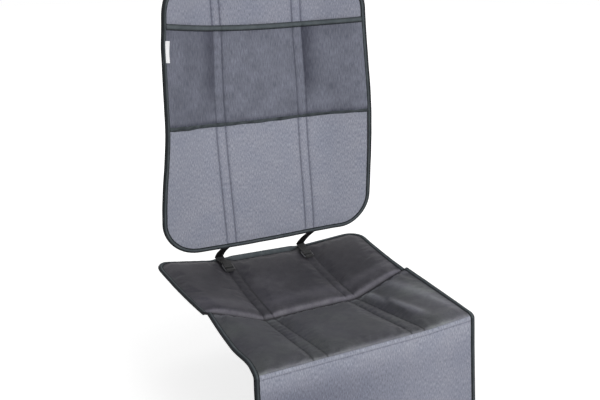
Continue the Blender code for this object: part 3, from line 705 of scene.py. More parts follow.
# near is the mesh's own tone; far is the same mesh painted darker, for painted shade.
near = add_node(tree, "ValToRGB", {"ramp": [(0.34, "#7c7f8b"), (0.66, "#8b8e9b")]}, {"Fac": patches}).outputs[0]
far = add_node(tree, "ValToRGB", {"ramp": [(0.34, "#50525e"), (0.66, "#5b5d6a")]}, {"Fac": patches}).outputs[0]
fold = add_node(tree, "Attribute", {"attribute_name": "shade"}).outputs["Fac"]
body = add_node(tree, "MixRGB", {}, {0: fold, 1: near, 2: far}).outputs[0]
wales = add_node(tree, "Mapping", {"Scale": (560.0, 70.0, 1.0)}, {"Vector": cloth}).outputs[0]
uneven = add_node(tree, "TexNoise", {"Scale": 1.0, "Detail": 3.0, "Roughness": 0.6}, {"Vector": wales}).outputs["Fac"]
grain = add_node(tree, "Math", {"operation": "MULTIPLY_ADD", 1: 0.25}, {0: holes, 2: uneven}).outputs[0]
dots = [([(0.38, "#bdbec6"), (0.78, "#ffffff")], grain)]
finish_shader(tree, shader, dots, holes, 0.5, 0.0005, colour=body)


def mesh_shade(u, v, upper):
    """Painted shade: outside each channel, where the mesh spans the panel's fold, along the seams,
    in the gathers and just above the foot, and more on the left; with a little random tone.
    """
    seams = panel_seams(v)
    reach = 0.027 + 0.007 * rough(u * 5, v * 16, 2.2)
    high = ease((v - POCKET_FOOT - 0.02) / 0.07)
    past = max(seams[0] - u, u - seams[3])
    spanned = (0.9 if u > 0.0 else 0.75) * exp(-(past / reach) ** 2) * mix(0.15, 1.0, high)
    spanned = spanned if past > 0.0 else 0.0
    line = 0.7 * exp(-(seam_gap(u, seams) / 0.0014) ** 2)
    gathers = 0.35 * max(rough(u * 120, v * 30, 9.4), 0.0) * exp(-(v - POCKET_FOOT) / 0.012)
    foot = 0.75 * exp(-((v - POCKET_FOOT) / 0.0055) ** 2)
    left = 0.16 * ease((seams[0] - u) / 0.01) + 0.12 * exp(-((POCKET_MOUTH - v) / 0.03) ** 2)
    cloudy = 0.10 * rough(u * 18, v * 18, 6.6)
    return min(max(spanned, line) + gathers + foot + left + cloudy + 0.08, 1.0)


mesh_rows = between(POCKET_FOOT - 0.002, POCKET_MOUTH - 0.001, GRID)
pocket = lay_sheet(
    "pocket", mesh_rows, panel_lines, pocket_column, pocket_surface,
    lambda u, v: pocket_lift(u, v) + POCKET_THICKNESS, pocket_lift, shade=mesh_shade,
)
dress(pocket, "dark_pocket_mesh", [pocket_net, pocket_net], "pocket_mesh")


# Pocket mouth and foot: the mouth is bound with an 11 mm tape folded over it, and the foot seam
# is covered with a narrow tape, gathered a little. Both are sewn with dark thread.
MOUTH_TAPE = 0.011
mouth_profile = [
    (0.0002, 0.0002), (0.0, 0.0010), (0.0006, 0.0014), (0.0014, 0.0011), (0.0022, 0.0015), (0.0045, 0.0020),
    (0.0068, 0.0021), (0.0088, 0.0018), (0.0102, 0.0012), (0.0113, 0.0004), (0.0117, -0.0004),
    (0.0113, -0.0011), (0.0100, -0.0014), (0.0060, -0.0014), (0.0, -0.0014),
]
foot_profile = [
    (-0.0064, 0.0002), (-0.0061, 0.0010), (-0.0045, 0.0018), (-0.0030, 0.0021), (-0.0012, 0.0016),
    (0.0008, 0.0008), (0.0010, 0.0002),
]


def mouth_lift(u):
    return pocket_lift(u, POCKET_MOUTH - MOUTH_TAPE / 2) + POCKET_THICKNESS


def mouth_place(row, stop, upper):
    up, w = mouth_profile[row]
    inner = 0.0005 if w > 0.0 else -0.0005
    v = POCKET_MOUTH - MOUTH_TAPE + up
    u = pocket_column(stop, v)
    lift = max(mouth_lift(u), 0.0020) if w < 0.0 else mouth_lift(u)
    ripple = 1.0 + 0.2 * rough(u * 70, v * 30, 9.0) if w > 0.0 else 1.0
    return pocket_surface(u, v, lift + w * ripple - (0.0 if upper else inner))


# Painted shade on the mouth tape: dark along its lower fold, and a little along its top.
def mouth_shade(row, stop, upper):
    up = mouth_profile[row][0]
    return max(1.0 - up / 0.0032, 0.35 * ease(up / 0.004 - 1.8), 0.0)


def foot_place(row, stop, upper):
    up, w = foot_profile[row]
    gathered = 0.92 + 0.20 * rough(stop * 34, 4.0, 1.3) + 0.25 * ease(-stop / 0.2)
    v = POCKET_FOOT + up * gathered
    u = pocket_column(stop, v)
    pinch = 1.0 + 0.45 * rough(u * 60, row * 0.6, 3.3)
    return pocket_surface(u, v, CLEARANCE + 0.0004 + (w * pinch if upper else 0.0))


# Painted shade, uneven at random: the foot tape is darkened as the gathered mesh is in shade there.
def foot_shade(row, stop, upper):
    return 0.30 + 0.30 * rough(stop * 70, row * 0.9, 5.7)


for name, profile, place, shade in (
    ("pocket_mouth", mouth_profile, mouth_place, mouth_shade),
    ("pocket_foot", foot_profile, foot_place, foot_shade),
):
    turned_under = [up + (0.02 if w < 0.0 else 0.0) for up, w in profile]
    band = lay_cloth(
        name, list(range(len(profile))), panel_lines, place, lambda row, stop: (stop, turned_under[row]),
        marks={"shade": shade},
    )
    dress(band, "dark_edge_tape", [edge_tape, edge_tape], name + "_tape")


def pocket_line(v, lift):
    path = []
    for stop in panel_lines:
        u = pocket_column(stop, v)
        foot = pocket_surface(u, v, lift(u))
        path.append((foot, pocket_surface(u, v, lift(u) + 1.0) - foot))
    return path


stitch("pocket_stitching", "dark_edge_tape", dark_thread, [
    pocket_line(POCKET_MOUTH - MOUTH_TAPE + 0.0014, lambda u: mouth_lift(u) + 0.0013),
    pocket_line(POCKET_FOOT - 0.003, lambda u: CLEARANCE + 0.0021),
])

# Side tag: a loop of satin label cloth caught under the left edge tape, left blank.
TAG_WIDTH = 0.0072
TAG_LENGTH = 0.041
TAG_TOP = 0.031
satin, tree, shader, cloth = cloth_material("satin_label_cloth", {"Roughness": 0.5, "Sheen Weight": 0.2})
threads = add_node(tree, "TexWave", {"Scale": 300.0, "bands_direction": "Y"}, {"Vector": cloth}).outputs["Fac"]
finish_shader(tree, shader, [([(0.0, "#eeeef1"), (1.0, "#fbfbfc")], threads)], threads, 0.2, 0.0002)


def tag_place(v, inset, upper):
    u = inset - pocket_half(0, v) - 0.0022
    free = inset / TAG_WIDTH
    curl = 0.0012 * free ** 2 * (1.0 + 0.5 * sin(v * 120))
    edge_fold = 0.0003 * exp(-((free - 1.0) / 0.12) ** 2)
    under = pocket_lift(u, v) + POCKET_THICKNESS + 0.0003 + curl
    return pocket_surface(u, v, under + (0.0007 + edge_fold if upper else 0.0))


tag_rows = between(POCKET_MOUTH - TAG_TOP - TAG_LENGTH, POCKET_MOUTH - TAG_TOP, 0.0025)
tag = lay_cloth("tag", tag_rows, between(0.0, TAG_WIDTH, 0.002), tag_place, lambda v, inset: (inset, v))
dress(tag, "white_tag_cloth", [satin, satin], "side_tag")


# Seat surface: from the car seat's front edge back over its cushion, down to a crease and up
# again a little. The sides stand up most at the crease.
CHANNEL_FRONT = 0.1005
PAIR_FRONT = 0.014
SEAT_WIDTH = 0.451
SEAT_LENGTH = 0.235
SEAT_DROP = 0.043
FRONT_RISES = (0.0, 0.007)
FRONT_RISE_FADE = 0.060
SIDE_RISES = (0.050, 0.048)
SIDE_FLARES = (0.005, 0.013)
SIDE_BEND = 0.030
PAD_BASE = 0.004
PAD_PUFF = 0.0055
FRONT_RADIUS = 0.008
CORNER_DRAW = 0.0065
CORNER_DRAW_PLACE = 0.040
CORNER_DRAW_REACH = 0.035
REAR_LENGTH = 0.242
REAR_RISE = 0.036
REAR_SCOOP = 0.55
REAR_SIDE_RISES = (0.018, 0.012)
REAR_FRONT_HALVES = (0.242, 0.232)
REAR_HALF = 0.254
REAR_CORNER = 0.042
REAR_SHIFT = -0.007
REAR_ROLL = 0.028
CURL_REACH = 0.0095
CURL_UP = 0.0020
CURL_DIP = 0.0045
CURL_DOWN = 0.0035
FLAP_LENGTH = 0.220
FLAP_FLARE = radians(8.0)
FLAP_CORNER = 0.035
SEAT_FOOT = Vector((0.0, -0.11572, 0.02561))
FRONT_SLOPE = -asin(SEAT_DROP / SEAT_LENGTH)
FLAP_SLOPE = pi / 2 - FLAP_FLARE
FRONT_TURN = FLAP_SLOPE - FRONT_SLOPE
FRONT_ARC = FRONT_RADIUS * FRONT_TURN
FRONT_REACH = FRONT_RADIUS * tan(FRONT_TURN / 2)
REAR_RUN = sqrt(REAR_LENGTH ** 2 - REAR_RISE ** 2)
CREASE = FRONT_ARC / 2 + SEAT_LENGTH - FRONT_REACH
REAR_END = CREASE + REAR_LENGTH


def seat_path(v):
    """Middle line of the seat and flap: y, z, slope and the ways back to the crease and the rear."""
    half_arc = FRONT_ARC / 2
    if v < -half_arc:
        down = FRONT_REACH - half_arc - v
        return -down * cos(FLAP_SLOPE), -down * sin(FLAP_SLOPE), FLAP_SLOPE, 0.0, 0.0
    if v < half_arc:
        turned = (v + half_arc) / FRONT_RADIUS
        slope = FLAP_SLOPE - turned
        start_y = -FRONT_REACH * cos(FLAP_SLOPE)
        start_z = -FRONT_REACH * sin(FLAP_SLOPE)
        y = start_y + FRONT_RADIUS * (sin(FLAP_SLOPE) - sin(slope))
        z = start_z + FRONT_RADIUS * (cos(slope) - cos(FLAP_SLOPE))
        return y, z, slope, 0.0, 0.0
    if v <= CREASE:
        along = FRONT_REACH + v - half_arc
        return along * cos(FRONT_SLOPE), along * sin(FRONT_SLOPE), FRONT_SLOPE, along / SEAT_LENGTH, 0.0
    t = (v - CREASE) / REAR_LENGTH
    y = SEAT_LENGTH * cos(FRONT_SLOPE) + REAR_RUN * t
    z = -SEAT_DROP + REAR_RISE * mix(t, t * t, REAR_SCOOP)
    slope = atan2(REAR_RISE * mix(1.0, 2.0 * t, REAR_SCOOP), REAR_RUN)
    return y, z, slope, 1.0, t


def seat_channel(v):
    """Channels run straight on the rear section and spread a little towards the front edge."""
    return mix(CHANNEL_FRONT, CHANNEL, min(max(v / CREASE, 0.0), 1.0))


def seat_seams(v):
    pair = mix(PAIR_FRONT, PAIR, min(max(v / CREASE, 0.0), 1.0))
    channel = seat_channel(v)
    return [-channel - pair, -channel + pair, channel - pair, channel + pair]


def turned_up(u):
    """How far the rear edge stands up, which it does between the straps."""
    return ease((u + CHANNEL - 0.004) / 0.020) * ease((CHANNEL - 0.006 - u) / 0.020)


def seat_surface(u, v, w):
    """Point of the seat or flap: v back from the front edge, w out of the top."""
    y, z, slope, back, t = seat_path(v)
    channel = seat_channel(v)
    right = right_side(u)
    outer = SEAT_WIDTH / 2 - channel
    stand = mix(mix(FRONT_RISES[right], SIDE_RISES[right], back), REAR_SIDE_RISES[right], t)
    turn = asin(stand * ease(1.0 + v / FRONT_RISE_FADE) / outer)
    x, rise, tilt = fold_section(u, channel, SIDE_BEND, turn)
    if u < -channel:
        near = exp(-((v - CORNER_DRAW_PLACE) / CORNER_DRAW_REACH) ** 2)
        x += CORNER_DRAW * near * (-u - channel) / outer
    x += REAR_SHIFT * t
    rise -= REAR_ROLL * x * t
    last = ease(1.0 + (v - REAR_END) / CURL_REACH)
    dip = exp(-(max(REAR_END - CURL_REACH - v, 0.0) / 0.016) ** 2)
    outside = ease((-CHANNEL - 0.014 - u) / 0.02)
    rise += turned_up(u) * ((CURL_UP + CURL_DIP) * last - CURL_DIP * dip) - CURL_DOWN * outside * last
    normal = Vector((-sin(tilt), -sin(slope) * cos(tilt), cos(slope) * cos(tilt)))
    return SEAT_FOOT + Vector((x, y, z + rise)) + normal * w


def rear_side(right, v):
    return mix(REAR_FRONT_HALVES[right], REAR_HALF, (v - CREASE) / REAR_LENGTH)


def rear_half(right, v):
    return rounded_half(rear_side(right, v), REAR_END - v, REAR_CORNER)


def front_side(right, v):
    return SEAT_WIDTH / 2 + SIDE_FLARES[right] * max(v / CREASE, 0.0)


def front_half(right, v):
    return rounded_half(front_side(right, v), v + FLAP_LENGTH, FLAP_CORNER)


# Faux leather: polyurethane film on a knit, charcoal, with a calendered grain of about 1 mm
# drawn at 1.6 mm. Satin gloss. A painted highlight makes it greyer on its rims and folds, and
# painted shade makes it darker in its creases.
def faux_leather(name, tones):
    material, tree, shader, cloth = cloth_material(name, {"Specular IOR Level": 0.25, "Sheen Weight": 0.03})
    spots = {"Scale": 11.0, "Detail": 4.0, "Roughness": 0.55}
    patches = add_node(tree, "TexNoise", spots, {"Vector": cloth}).outputs["Fac"]
    pores = add_node(tree, "TexNoise", {"Scale": 420.0, "Detail": 3.0}, {"Vector": cloth}).outputs["Fac"]
    mottle = {"Scale": 55.0, "Detail": 5.0, "Roughness": 0.7}
    clouds = add_node(tree, "TexNoise", mottle, {"Vector": cloth}).outputs["Fac"]
    cells = {"Scale": 640.0, "feature": "DISTANCE_TO_EDGE"}
    grain = add_node(tree, "TexVoronoi", cells, {"Vector": cloth}).outputs["Distance"]
    height = add_node(tree, "Math", {"operation": "MULTIPLY_ADD", 1: 0.6}, {0: grain, 2: pores}).outputs[0]
    # Painted shading: at 0.5 the leather's own tone, below it a painted highlight, above it painted shade.
    fold = add_node(tree, "Attribute", {"attribute_name": "shade"}).outputs["Fac"]
    finish_shader(tree, shader, [
        (tones, patches),
        ([(0.35, "#ececec"), (0.65, "#ffffff")], pores),
        ([(0.34, "#dedce2"), (0.66, "#ffffff")], clouds),
        ([(0.0, "#ffffff"), (0.5, "#878788"), (1.0, "#444446")], fold),
    ], height, 0.30)
    gloss = add_node(tree, "MapRange", {"To Min": 0.48, "To Max": 0.66}, {"Value": patches})
    tree.links.new(gloss.outputs[0], shader.inputs["Roughness"])
    return material


# Painted light: the front section's leather is the same leather in lighter tones, for the light its satin face catches.
rear_leather = faux_leather("charcoal_polyurethane_leather", [(0.30, "#716f7b"), (0.50, "#84828a"), (0.70, "#96949b")])
lit_front_leather = faux_leather(
    "charcoal_polyurethane_leather_painted_lighter", [(0.30, "#8d8d98"), (0.50, "#9c9ea4"), (0.70, "#acb2b1")],
)

# Underside of the seat: knit with 2 mm rubber dots every 6 mm, which keep it from slipping.
nonslip, tree, shader, cloth = cloth_material("dotted_nonslip_backing", {"Roughness": 0.85})
dots = add_node(tree, "TexVoronoi", {"Scale": 166.0, "Randomness": 0.0}, {"Vector": cloth}).outputs["Distance"]
finish_shader(tree, shader, [([(0.16, "#1d1e20"), (0.20, "#4b4d52")], dots)], dots, 0.6, 0.0006, invert=True)


# Front section of the seat: faux leather over 8 mm foam, sewn through in two channels that
# spread towards the front, where it is joined to the flap in a rolled seam.
def ridge(u, v, start, end, width):
    """Height share of a soft fold that runs between two points of the cloth."""
    du = end[0] - start[0]
    dv = end[1] - start[1]
    length = hypot(du, dv)
    along = ((u - start[0]) * du + (v - start[1]) * dv) / length
    off = ((u - start[0]) * dv - (v - start[1]) * du) / length
    fade = ease(along / 0.04) * ease((length - along) / 0.05)
    return fade * exp(-(off / width) ** 2)


# Soft folds of the front section: start, end, width, rise, and the painted shading along each, below 0 a painted
# highlight, above 0 painted shade.
FRONT_FOLDS = [
    ((0.122, 0.236), (0.150, 0.020), 0.0085, 0.0030, -0.34),
    ((0.140, 0.225), (0.122, 0.050), 0.0065, -0.0018, 0.24),
    ((0.170, 0.236), (0.212, 0.010), 0.0120, 0.0018, -0.22),
]


def front_relief(u, v):
    side_gap = front_side(right_side(u), v) - abs(u) - TAPE_WIDTH - 0.001
    edge = min(side_gap, CREASE - v)
    seam = seam_gap(u, seat_seams(v))
    inside = abs(abs(u) - seat_channel(v)) < mix(PAIR_FRONT, PAIR, v / CREASE)
    full = 0.38 if inside else 1.0
    puff = PAD_PUFF * seam_rise(edge, 0.024) * seam_rise(v + 0.004, 0.03)
    puff = puff * seam_rise(seam, 0.008 if inside else 0.016) * full
    folds = sum(rise * ridge(u, v, start, end, width) for start, end, width, rise, _ in FRONT_FOLDS)
    waves = 0.0016 * rough(u * 9, v * 9, 12.4) + 0.0006 * rough(u * 28, v * 28, 3.4)
    puckers = 0.0004 * sin(v * 420 + 4 * rough(u * 18, v * 10, 5.0)) * exp(-seam / 0.006)
    return puff + folds + (waves + puckers) * seam_rise(edge, 0.03) * seam_rise(v, 0.03)


seat_rest = [-SEAT_WIDTH / 2, *seat_seams(0.0), SEAT_WIDTH / 2]
front_lines = lines_near(-SEAT_WIDTH / 2, SEAT_WIDTH / 2, GRID, seat_seams(0.0))
front_column = columns_of(seat_rest, front_half, seat_seams)
front_rows = joined(
    between(0.0, 0.016, 0.0015), between(0.016, CREASE - 0.012, GRID), between(CREASE - 0.012, CREASE, 0.0015),
)
SWELL_FRAMES = 20
SWELL_LIMIT = 0.0035
HELD_EDGE = 0.002
HELD_SEAM = 0.0015


def swell(pad):
    """Cloth simulation of a pad's cover: held where it is sewn, pushed out by the foam under it.

    Its cut is 2% larger than its foam, so that it gathers beside the seams as the real one does.
    """
    mesh = pad.data
    sewn = pad.vertex_groups.new(name="sewn")
    for vertex, mark in zip(mesh.vertices, mesh.attributes["sewn"].data):
        sewn.add([vertex.index], mark.value, "REPLACE")
    cover = pad.modifiers.new("cover", "CLOTH")
    cover.settings.vertex_group_mass = "sewn"
    cover.settings.quality = 6
    cover.settings.bending_stiffness = 0.1
    cover.settings.shrink_min = -0.02
    cover.settings.use_pressure = True
    cover.settings.uniform_pressure_force = 4.0
    cover.settings.effector_weights.gravity = 0.0
    cover.collision_settings.use_collision = False
    cover.point_cache.frame_start = 1
    cover.point_cache.frame_end = SWELL_FRAMES
    for step in range(1, SWELL_FRAMES + 1):
        scene.frame_set(step)
    swollen = pad.evaluated_get(bpy.context.evaluated_depsgraph_get())
    moves = [new.co - old.co for new, old in zip(swollen.data.vertices, mesh.vertices)]
    pad.modifiers.remove(cover)
    pad.vertex_groups.clear()
    scene.frame_set(1)
    for vertex, move in zip(mesh.vertices, moves):
        vertex.co += move * min(1.0, SWELL_LIMIT / max(move.length, 1e-9))


def front_shade(u, v, upper):
    """Half is plain leather. Less is a painted highlight, on the folds, before the crease, at the front
    edge and the right front; more is painted shade, in the valleys, seams and crease. A little random tone.
    """
    shade = 0.5 + sum(depth * ridge(u, v, start, end, width) for start, end, width, _, depth in FRONT_FOLDS)
    shade += 0.28 * exp(-(seam_gap(u, seat_seams(v)) / 0.0016) ** 2)
    shade += 0.45 * exp(-((CREASE - v) / 0.003) ** 2) - 0.16 * exp(-((CREASE - v - 0.012) / 0.006) ** 2)
    shade -= 0.30 * exp(-(v / 0.005) ** 2) + 0.10 * ease((u - 0.12) / 0.08) * (1.0 - ease((v - 0.10) / 0.10))
    return min(max(shade + 0.07 * rough(u * 13, v * 13, 3.9), 0.0), 1.0)


def front_sewn(u, v, upper):
    """The cover is held at its edges, along the stitching and on its underside."""
    edge = min(front_side(right_side(u), v) - abs(u) - TAPE_WIDTH, CREASE - v - 0.002, v - 0.002)
    return 0.0 if upper and edge > HELD_EDGE and seam_gap(u, seat_seams(v)) > HELD_SEAM else 1.0


front_pad = lay_sheet(
    "seat_front", front_rows, front_lines, front_column, seat_surface, front_relief, lambda u, v: -PAD_BASE,
    shade=front_shade, sewn=front_sewn,
)
swell(front_pad)
dress(front_pad, "charcoal_faux_leather", [lit_front_leather, nonslip], "seat_front_pad")


# Rear section of the seat: the same leather and foam. Its front rim rolls over the crease. Its
# rear edge stands up between the straps, behind a shallow dip, and turns down left of them.
RIM_PUFF = 0.0095
RIM_RADIUS = 0.012


def rear_relief(u, v):
    side_gap = rear_side(right_side(u), v) - abs(u)
    edge = inset_from(side_gap, REAR_END - v, REAR_CORNER) - TAPE_WIDTH - 0.001
    seam = seam_gap(u, seat_seams(v))
    inside = abs(abs(u) - CHANNEL) < PAIR
    height = mix(RIM_PUFF, PAD_PUFF, ease((v - CREASE) / (REAR_LENGTH / 2)))
    rim = seam_rise(v - CREASE, RIM_RADIUS)
    sewn = mix(0.55, 1.0, seam_rise(seam, 0.008 if inside else 0.02)) * (0.8 if inside else 1.0)
    waves = 0.0014 * rough(u * 8, v * 8, 22.4) + 0.0005 * rough(u * 26, v * 26, 13.4)
    return height * rim * sewn * seam_rise(edge, 0.024) + waves * seam_rise(edge, 0.03) * rim


rear_rest = [-REAR_HALF, *seat_seams(CREASE), REAR_HALF]
rear_lines = lines_near(-REAR_HALF, REAR_HALF, GRID, seat_seams(CREASE))
rear_column = columns_of(rear_rest, rear_half, seat_seams)
rear_rows = joined(
    [CREASE, *(CREASE + step for step in (0.0008, 0.0016, 0.003, 0.005, 0.008, RIM_RADIUS))],
    between(CREASE + RIM_RADIUS, REAR_END - REAR_CORNER, GRID),
    list(reversed(corner_rows(REAR_END, REAR_CORNER, -1))),
)


# Painted light on the rear section: a painted highlight on the front rim and in a band behind it; painted shade in the
# crease, along the seams, inside the left channel, at the rear right and in the dip before the turned-up edge, and each
# strap's painted shadow on its left; with a little random tone.
def rear_shade(u, v, upper):
    rim = exp(-((v - CREASE - 0.0065) / 0.0048) ** 2) * (0.85 + 0.35 * rough(u * 30, 1.0, 6.1))
    line = exp(-(seam_gap(u, seat_seams(v)) / 0.0016) ** 2)
    inside = ease((PAIR - abs(u + CHANNEL)) / 0.003)
    far_right = exp(-((u - 0.15) / 0.05) ** 2 - ((v - CREASE - 0.17) / 0.06) ** 2)
    shade = 0.5 - 0.50 * rim * mix(0.75, 1.0, ease((u + 0.12) / 0.06)) + 0.5 * exp(-((v - CREASE) / 0.0014) ** 2)
    shade += line * (0.10 if u > 0.0 else 0.30) + 0.10 * inside + 0.10 * far_right
    shade -= 0.12 * exp(-((CREASE + 0.045 - v) / 0.02) ** 2)
    shade += 0.35 * turned_up(u) * exp(-((REAR_END - 0.011 - v) / 0.0035) ** 2)
    beside = exp(-((u + CHANNEL + 0.019) / 0.0035) ** 2) + exp(-((u - CHANNEL + 0.013) / 0.0035) ** 2)
    shade += 0.6 * beside * ease((v - REAR_END + 0.058) / 0.01)
    return min(max(shade + 0.09 * rough(u * 11, v * 11, 7.9), 0.0), 1.0)


def rear_sewn(u, v, upper):
    """Held as the front section is, and also where the straps and buckles lie on it."""
    edge = inset_from(rear_side(right_side(u), v) - abs(u), REAR_END - v, REAR_CORNER) - TAPE_WIDTH
    strapped = abs(abs(u) - CHANNEL) < 0.022 and v > REAR_END - 0.06
    free = min(edge, v - CREASE - 0.003) > HELD_EDGE and seam_gap(u, seat_seams(v)) > HELD_SEAM
    return 0.0 if upper and free and not strapped else 1.0


rear_pad = lay_sheet(
    "seat_rear", rear_rows, rear_lines, rear_column, seat_surface, rear_relief, lambda u, v: -PAD_BASE,
    shade=rear_shade, sewn=rear_sewn,
)
swell(rear_pad)
dress(rear_pad, "charcoal_faux_leather", [rear_leather, nonslip], "seat_rear_pad")

# Its channels are sewn with the dark thread, in 3.8 mm stitches.
stitch("seat_stitching", "charcoal_faux_leather", dark_thread, [
    seam_path(seat_surface, relief, [(seat_seams(v)[k], v) for v in between(start, end, SEAM_STEP)], STITCH_LIFT)
    for k in range(4)
    for relief, start, end in (
        (front_relief, 0.004, CREASE - 0.004),
        (rear_relief, CREASE + 0.008, REAR_END - TAPE_WIDTH),
    )
], pitch=0.0038, length=0.0030)


# Front flap: the same melange cloth, 4 mm thick, hanging over the cushion's front. A stitch
# line 9 mm under the seam holds the turned edge down in a soft welt.
WELT = 0.009


def flap_relief(u, v):
    side_gap = front_side(right_side(u), v) - abs(u)
    edge = inset_from(side_gap, v + FLAP_LENGTH, FLAP_CORNER) - TAPE_WIDTH
    welt = 0.0011 * seam_rise(-v, 0.003) * ease((v + WELT) / 0.003) if v > -WELT else 0.0
    groove = -0.0004 * exp(-((v + WELT) / 0.0015) ** 2)
    waves = 0.0018 * rough(u * 6, v * 5, 31.4) + 0.0006 * rough(u * 24, v * 15, 33.0)
    puckers = 0.0003 * sin(u * 600 + 4 * rough(u * 20, v * 10, 2.0)) * exp(-abs(v + WELT) / 0.006)
    hung = (waves + puckers) * seam_rise(edge, 0.03) * ease(-v / 0.02)
    return (welt + groove) * seam_rise(edge, 0.006) + hung


flap_rows = joined(
    corner_rows(-FLAP_LENGTH, FLAP_CORNER, 1),
    between(FLAP_CORNER - FLAP_LENGTH, -0.016, GRID),
    between(-0.016, 0.0, 0.001),
)


# Painted shade: darker down the flap and towards its left, and along the welt's stitch line; with a little random tone.
def flap_shade(u, v, upper):
    down = ease(-v / 0.07)
    across = mix(0.85, 0.33, ease((u + 0.2) / 0.36))
    stitched = 0.45 * exp(-((v + WELT) / 0.0014) ** 2)
    return min(0.01 + down * across + stitched + 0.05 * rough(u * 10, v * 10, 5.5), 1.0)


flap = lay_sheet(
    "flap", flap_rows, front_lines, front_column, seat_surface, flap_relief, lambda u, v: -PAD_BASE, shade=flap_shade,
)
dress(flap, "grey_melange_fabric", [melange, backing], "front_flap")
welt_line = [(u, -WELT) for u in between(-SEAT_WIDTH / 2 + TAPE_WIDTH, SEAT_WIDTH / 2 - TAPE_WIDTH, SEAM_STEP)]
stitch("flap_stitching", "grey_melange_fabric", thread, [
    seam_path(seat_surface, flap_relief, welt_line, STITCH_LIFT),
])


# Edge tape of the seat: one round the front section and flap, one round the rear section.
def no_relief(u, v):
    return 0.0


def front_tape_shade(inset, u, v):
    """Painted shade: down the flap it faces away from the lamps."""
    return min(tape_shade(inset, u, v) + (0.18 if v < -0.005 else 0.0), 1.0)


def rear_tape_shade(inset, u, v):
    """Painted highlight: between the straps it is turned up to the lamps."""
    lit = 0.85 * turned_up(u) if v == REAR_END and inset > 0.001 else 0.0
    return tape_shade(inset, u, v) * (1.0 - lit)


right, left = side_runs(front_half, joined(flap_rows, front_rows))
foot_half = front_half(0, -FLAP_LENGTH)
front_edge = joined(left, end_run(-foot_half, foot_half, -FLAP_LENGTH), right)
right, left = side_runs(rear_half, rear_rows)
rear_corner = REAR_HALF - REAR_CORNER
rear_edge = joined(right, end_run(rear_corner, -rear_corner, REAR_END), left)
paths = []
for name, edge, seed, shade in (
    ("front", front_edge, 11.0, front_tape_shade),
    ("rear", rear_edge, 17.0, rear_tape_shade),
):
    tape, seam = lay_tape(name + "_tape", edge, seat_surface, no_relief, PAD_BASE, seed, shade=shade)
    dress(tape, "dark_edge_tape", [edge_tape, edge_tape], name + "_binding")
    paths.append(seam_path(seat_surface, no_relief, seam, TAPE_SEAM_LIFT))
stitch("seat_tape_stitching", "dark_edge_tape", dark_thread, paths)


# Buckles: ladder-locks for 20 mm webbing, moulded in black acetal with a fine satin texture.
# A short sewn tab holds the front bar, and the strap turns round the middle bar.
STRAP_WIDTH = 0.020
STRAP_THICKNESS = 0.0014
STRAP_SEWN = 0.032
BUCKLE_INSET = 0.047
STRAP_SHIFTS = {-1: (-0.006, -0.008, -0.010), 1: (-0.003, 0.005, 0.010)}
BUCKLE_WIDTH = 0.0238
BUCKLE_LENGTH = 0.024
BUCKLE_THICKNESS = 0.0026
BUCKLE_BAR = 0.0034
BUCKLE_SIDE = 0.0017
BUCKLE_CORNER = 0.003
TAB_THICKNESS = 0.0012
ACROSS = Vector((1.0, 0.0, 0.0))

acetal, tree, shader = new_material("satin_moulded_acetal", {"Roughness": 0.4, "IOR": 1.48})
place = add_node(tree, "TexCoord").outputs["Object"]
sparks = add_node(tree, "TexNoise", {"Scale": 700.0, "Detail": 2.0}, {"Vector": place}).outputs["Fac"]
rubbed = add_node(tree, "TexNoise", {"Scale": 90.0, "Detail": 3.0}, {"Vector": place}).outputs["Fac"]
finish_shader(tree, shader, [([(0.3, "#58585c"), (0.7, "#727377")], rubbed)], sparks, 0.25, 0.0002)

# Polypropylene webbing, black: ribs of 0.9 mm across it, drawn at 1.5 mm, and a closed edge.
black_webbing, tree, shader, cloth = cloth_material(
    "black_polypropylene_webbing", {"Roughness": 0.7, "Specular IOR Level": 0.2},
)
ribs = add_node(tree, "TexWave", {"Scale": 210.0, "bands_direction": "X"}, {"Vector": cloth}).outputs["Fac"]
# Painted shade and painted shadow, as laid on by lay_webbing.
fold = add_node(tree, "Attribute", {"attribute_name": "shade"}).outputs["Fac"]
finish_shader(tree, shader, [
    ([(0.2, "#262627"), (0.9, "#545455")], ribs),
    ([(0.0, "#ffffff"), (1.0, "#666667")], fold),
], ribs, 0.6, 0.0005)


def smooth_route(points, steps):
    """Points of a Catmull-Rom curve through the given points."""
    ends = [points[0] * 2 - points[1]] + points + [points[-1] * 2 - points[-2]]
    route = []
    for k in range(1, len(ends) - 2):
        p0, p1, p2, p3 = ends[k - 1:k + 3]
        for step in range(steps):
            t = step / steps
            bend = p0 * (-t + 2 * t * t - t ** 3) + p1 * (2 - 5 * t * t + 3 * t ** 3)
            bend = bend + p2 * (t + 4 * t * t - 3 * t ** 3) + p3 * (t ** 3 - t * t)
            route.append(bend / 2)
    return route + [points[-1]]


def lay_webbing(name, route, width, thickness, shaded_from):
    """Flat webbing along a route, centred on it, a little thinner at its closed edges.

    Painted shade darkens it from one row on, where it hangs behind the seat's edge, and along
    its left edge, as its painted shadow.
    """
    normals = []
    lengths = [0.0]
    for k in range(len(route)):
        ahead = route[min(k + 1, len(route) - 1)] - route[max(k - 1, 0)]
        normals.append(ACROSS.cross(ahead).normalized())
    for a, b in zip(route, route[1:]):
        lengths.append(lengths[-1] + (b - a).length)

    def place(row, side, upper):
        lift = thickness / 2 * (1.0 - 0.45 * abs(side) ** 6)
        return route[row] + ACROSS * side * width / 2 + normals[row] * (lift if upper else -lift)

    sides = [-1.0, -0.9, -0.7, -0.35, 0.0, 0.35, 0.7, 0.9, 1.0]
    marks = {"shade": lambda row, side, upper: 1.0 if row >= shaded_from or side < -0.9 else 0.0}
    rows = list(range(len(route)))
    return lay_cloth(name, rows, sides, place, lambda row, side: (lengths[row], side * width / 2), marks=marks)


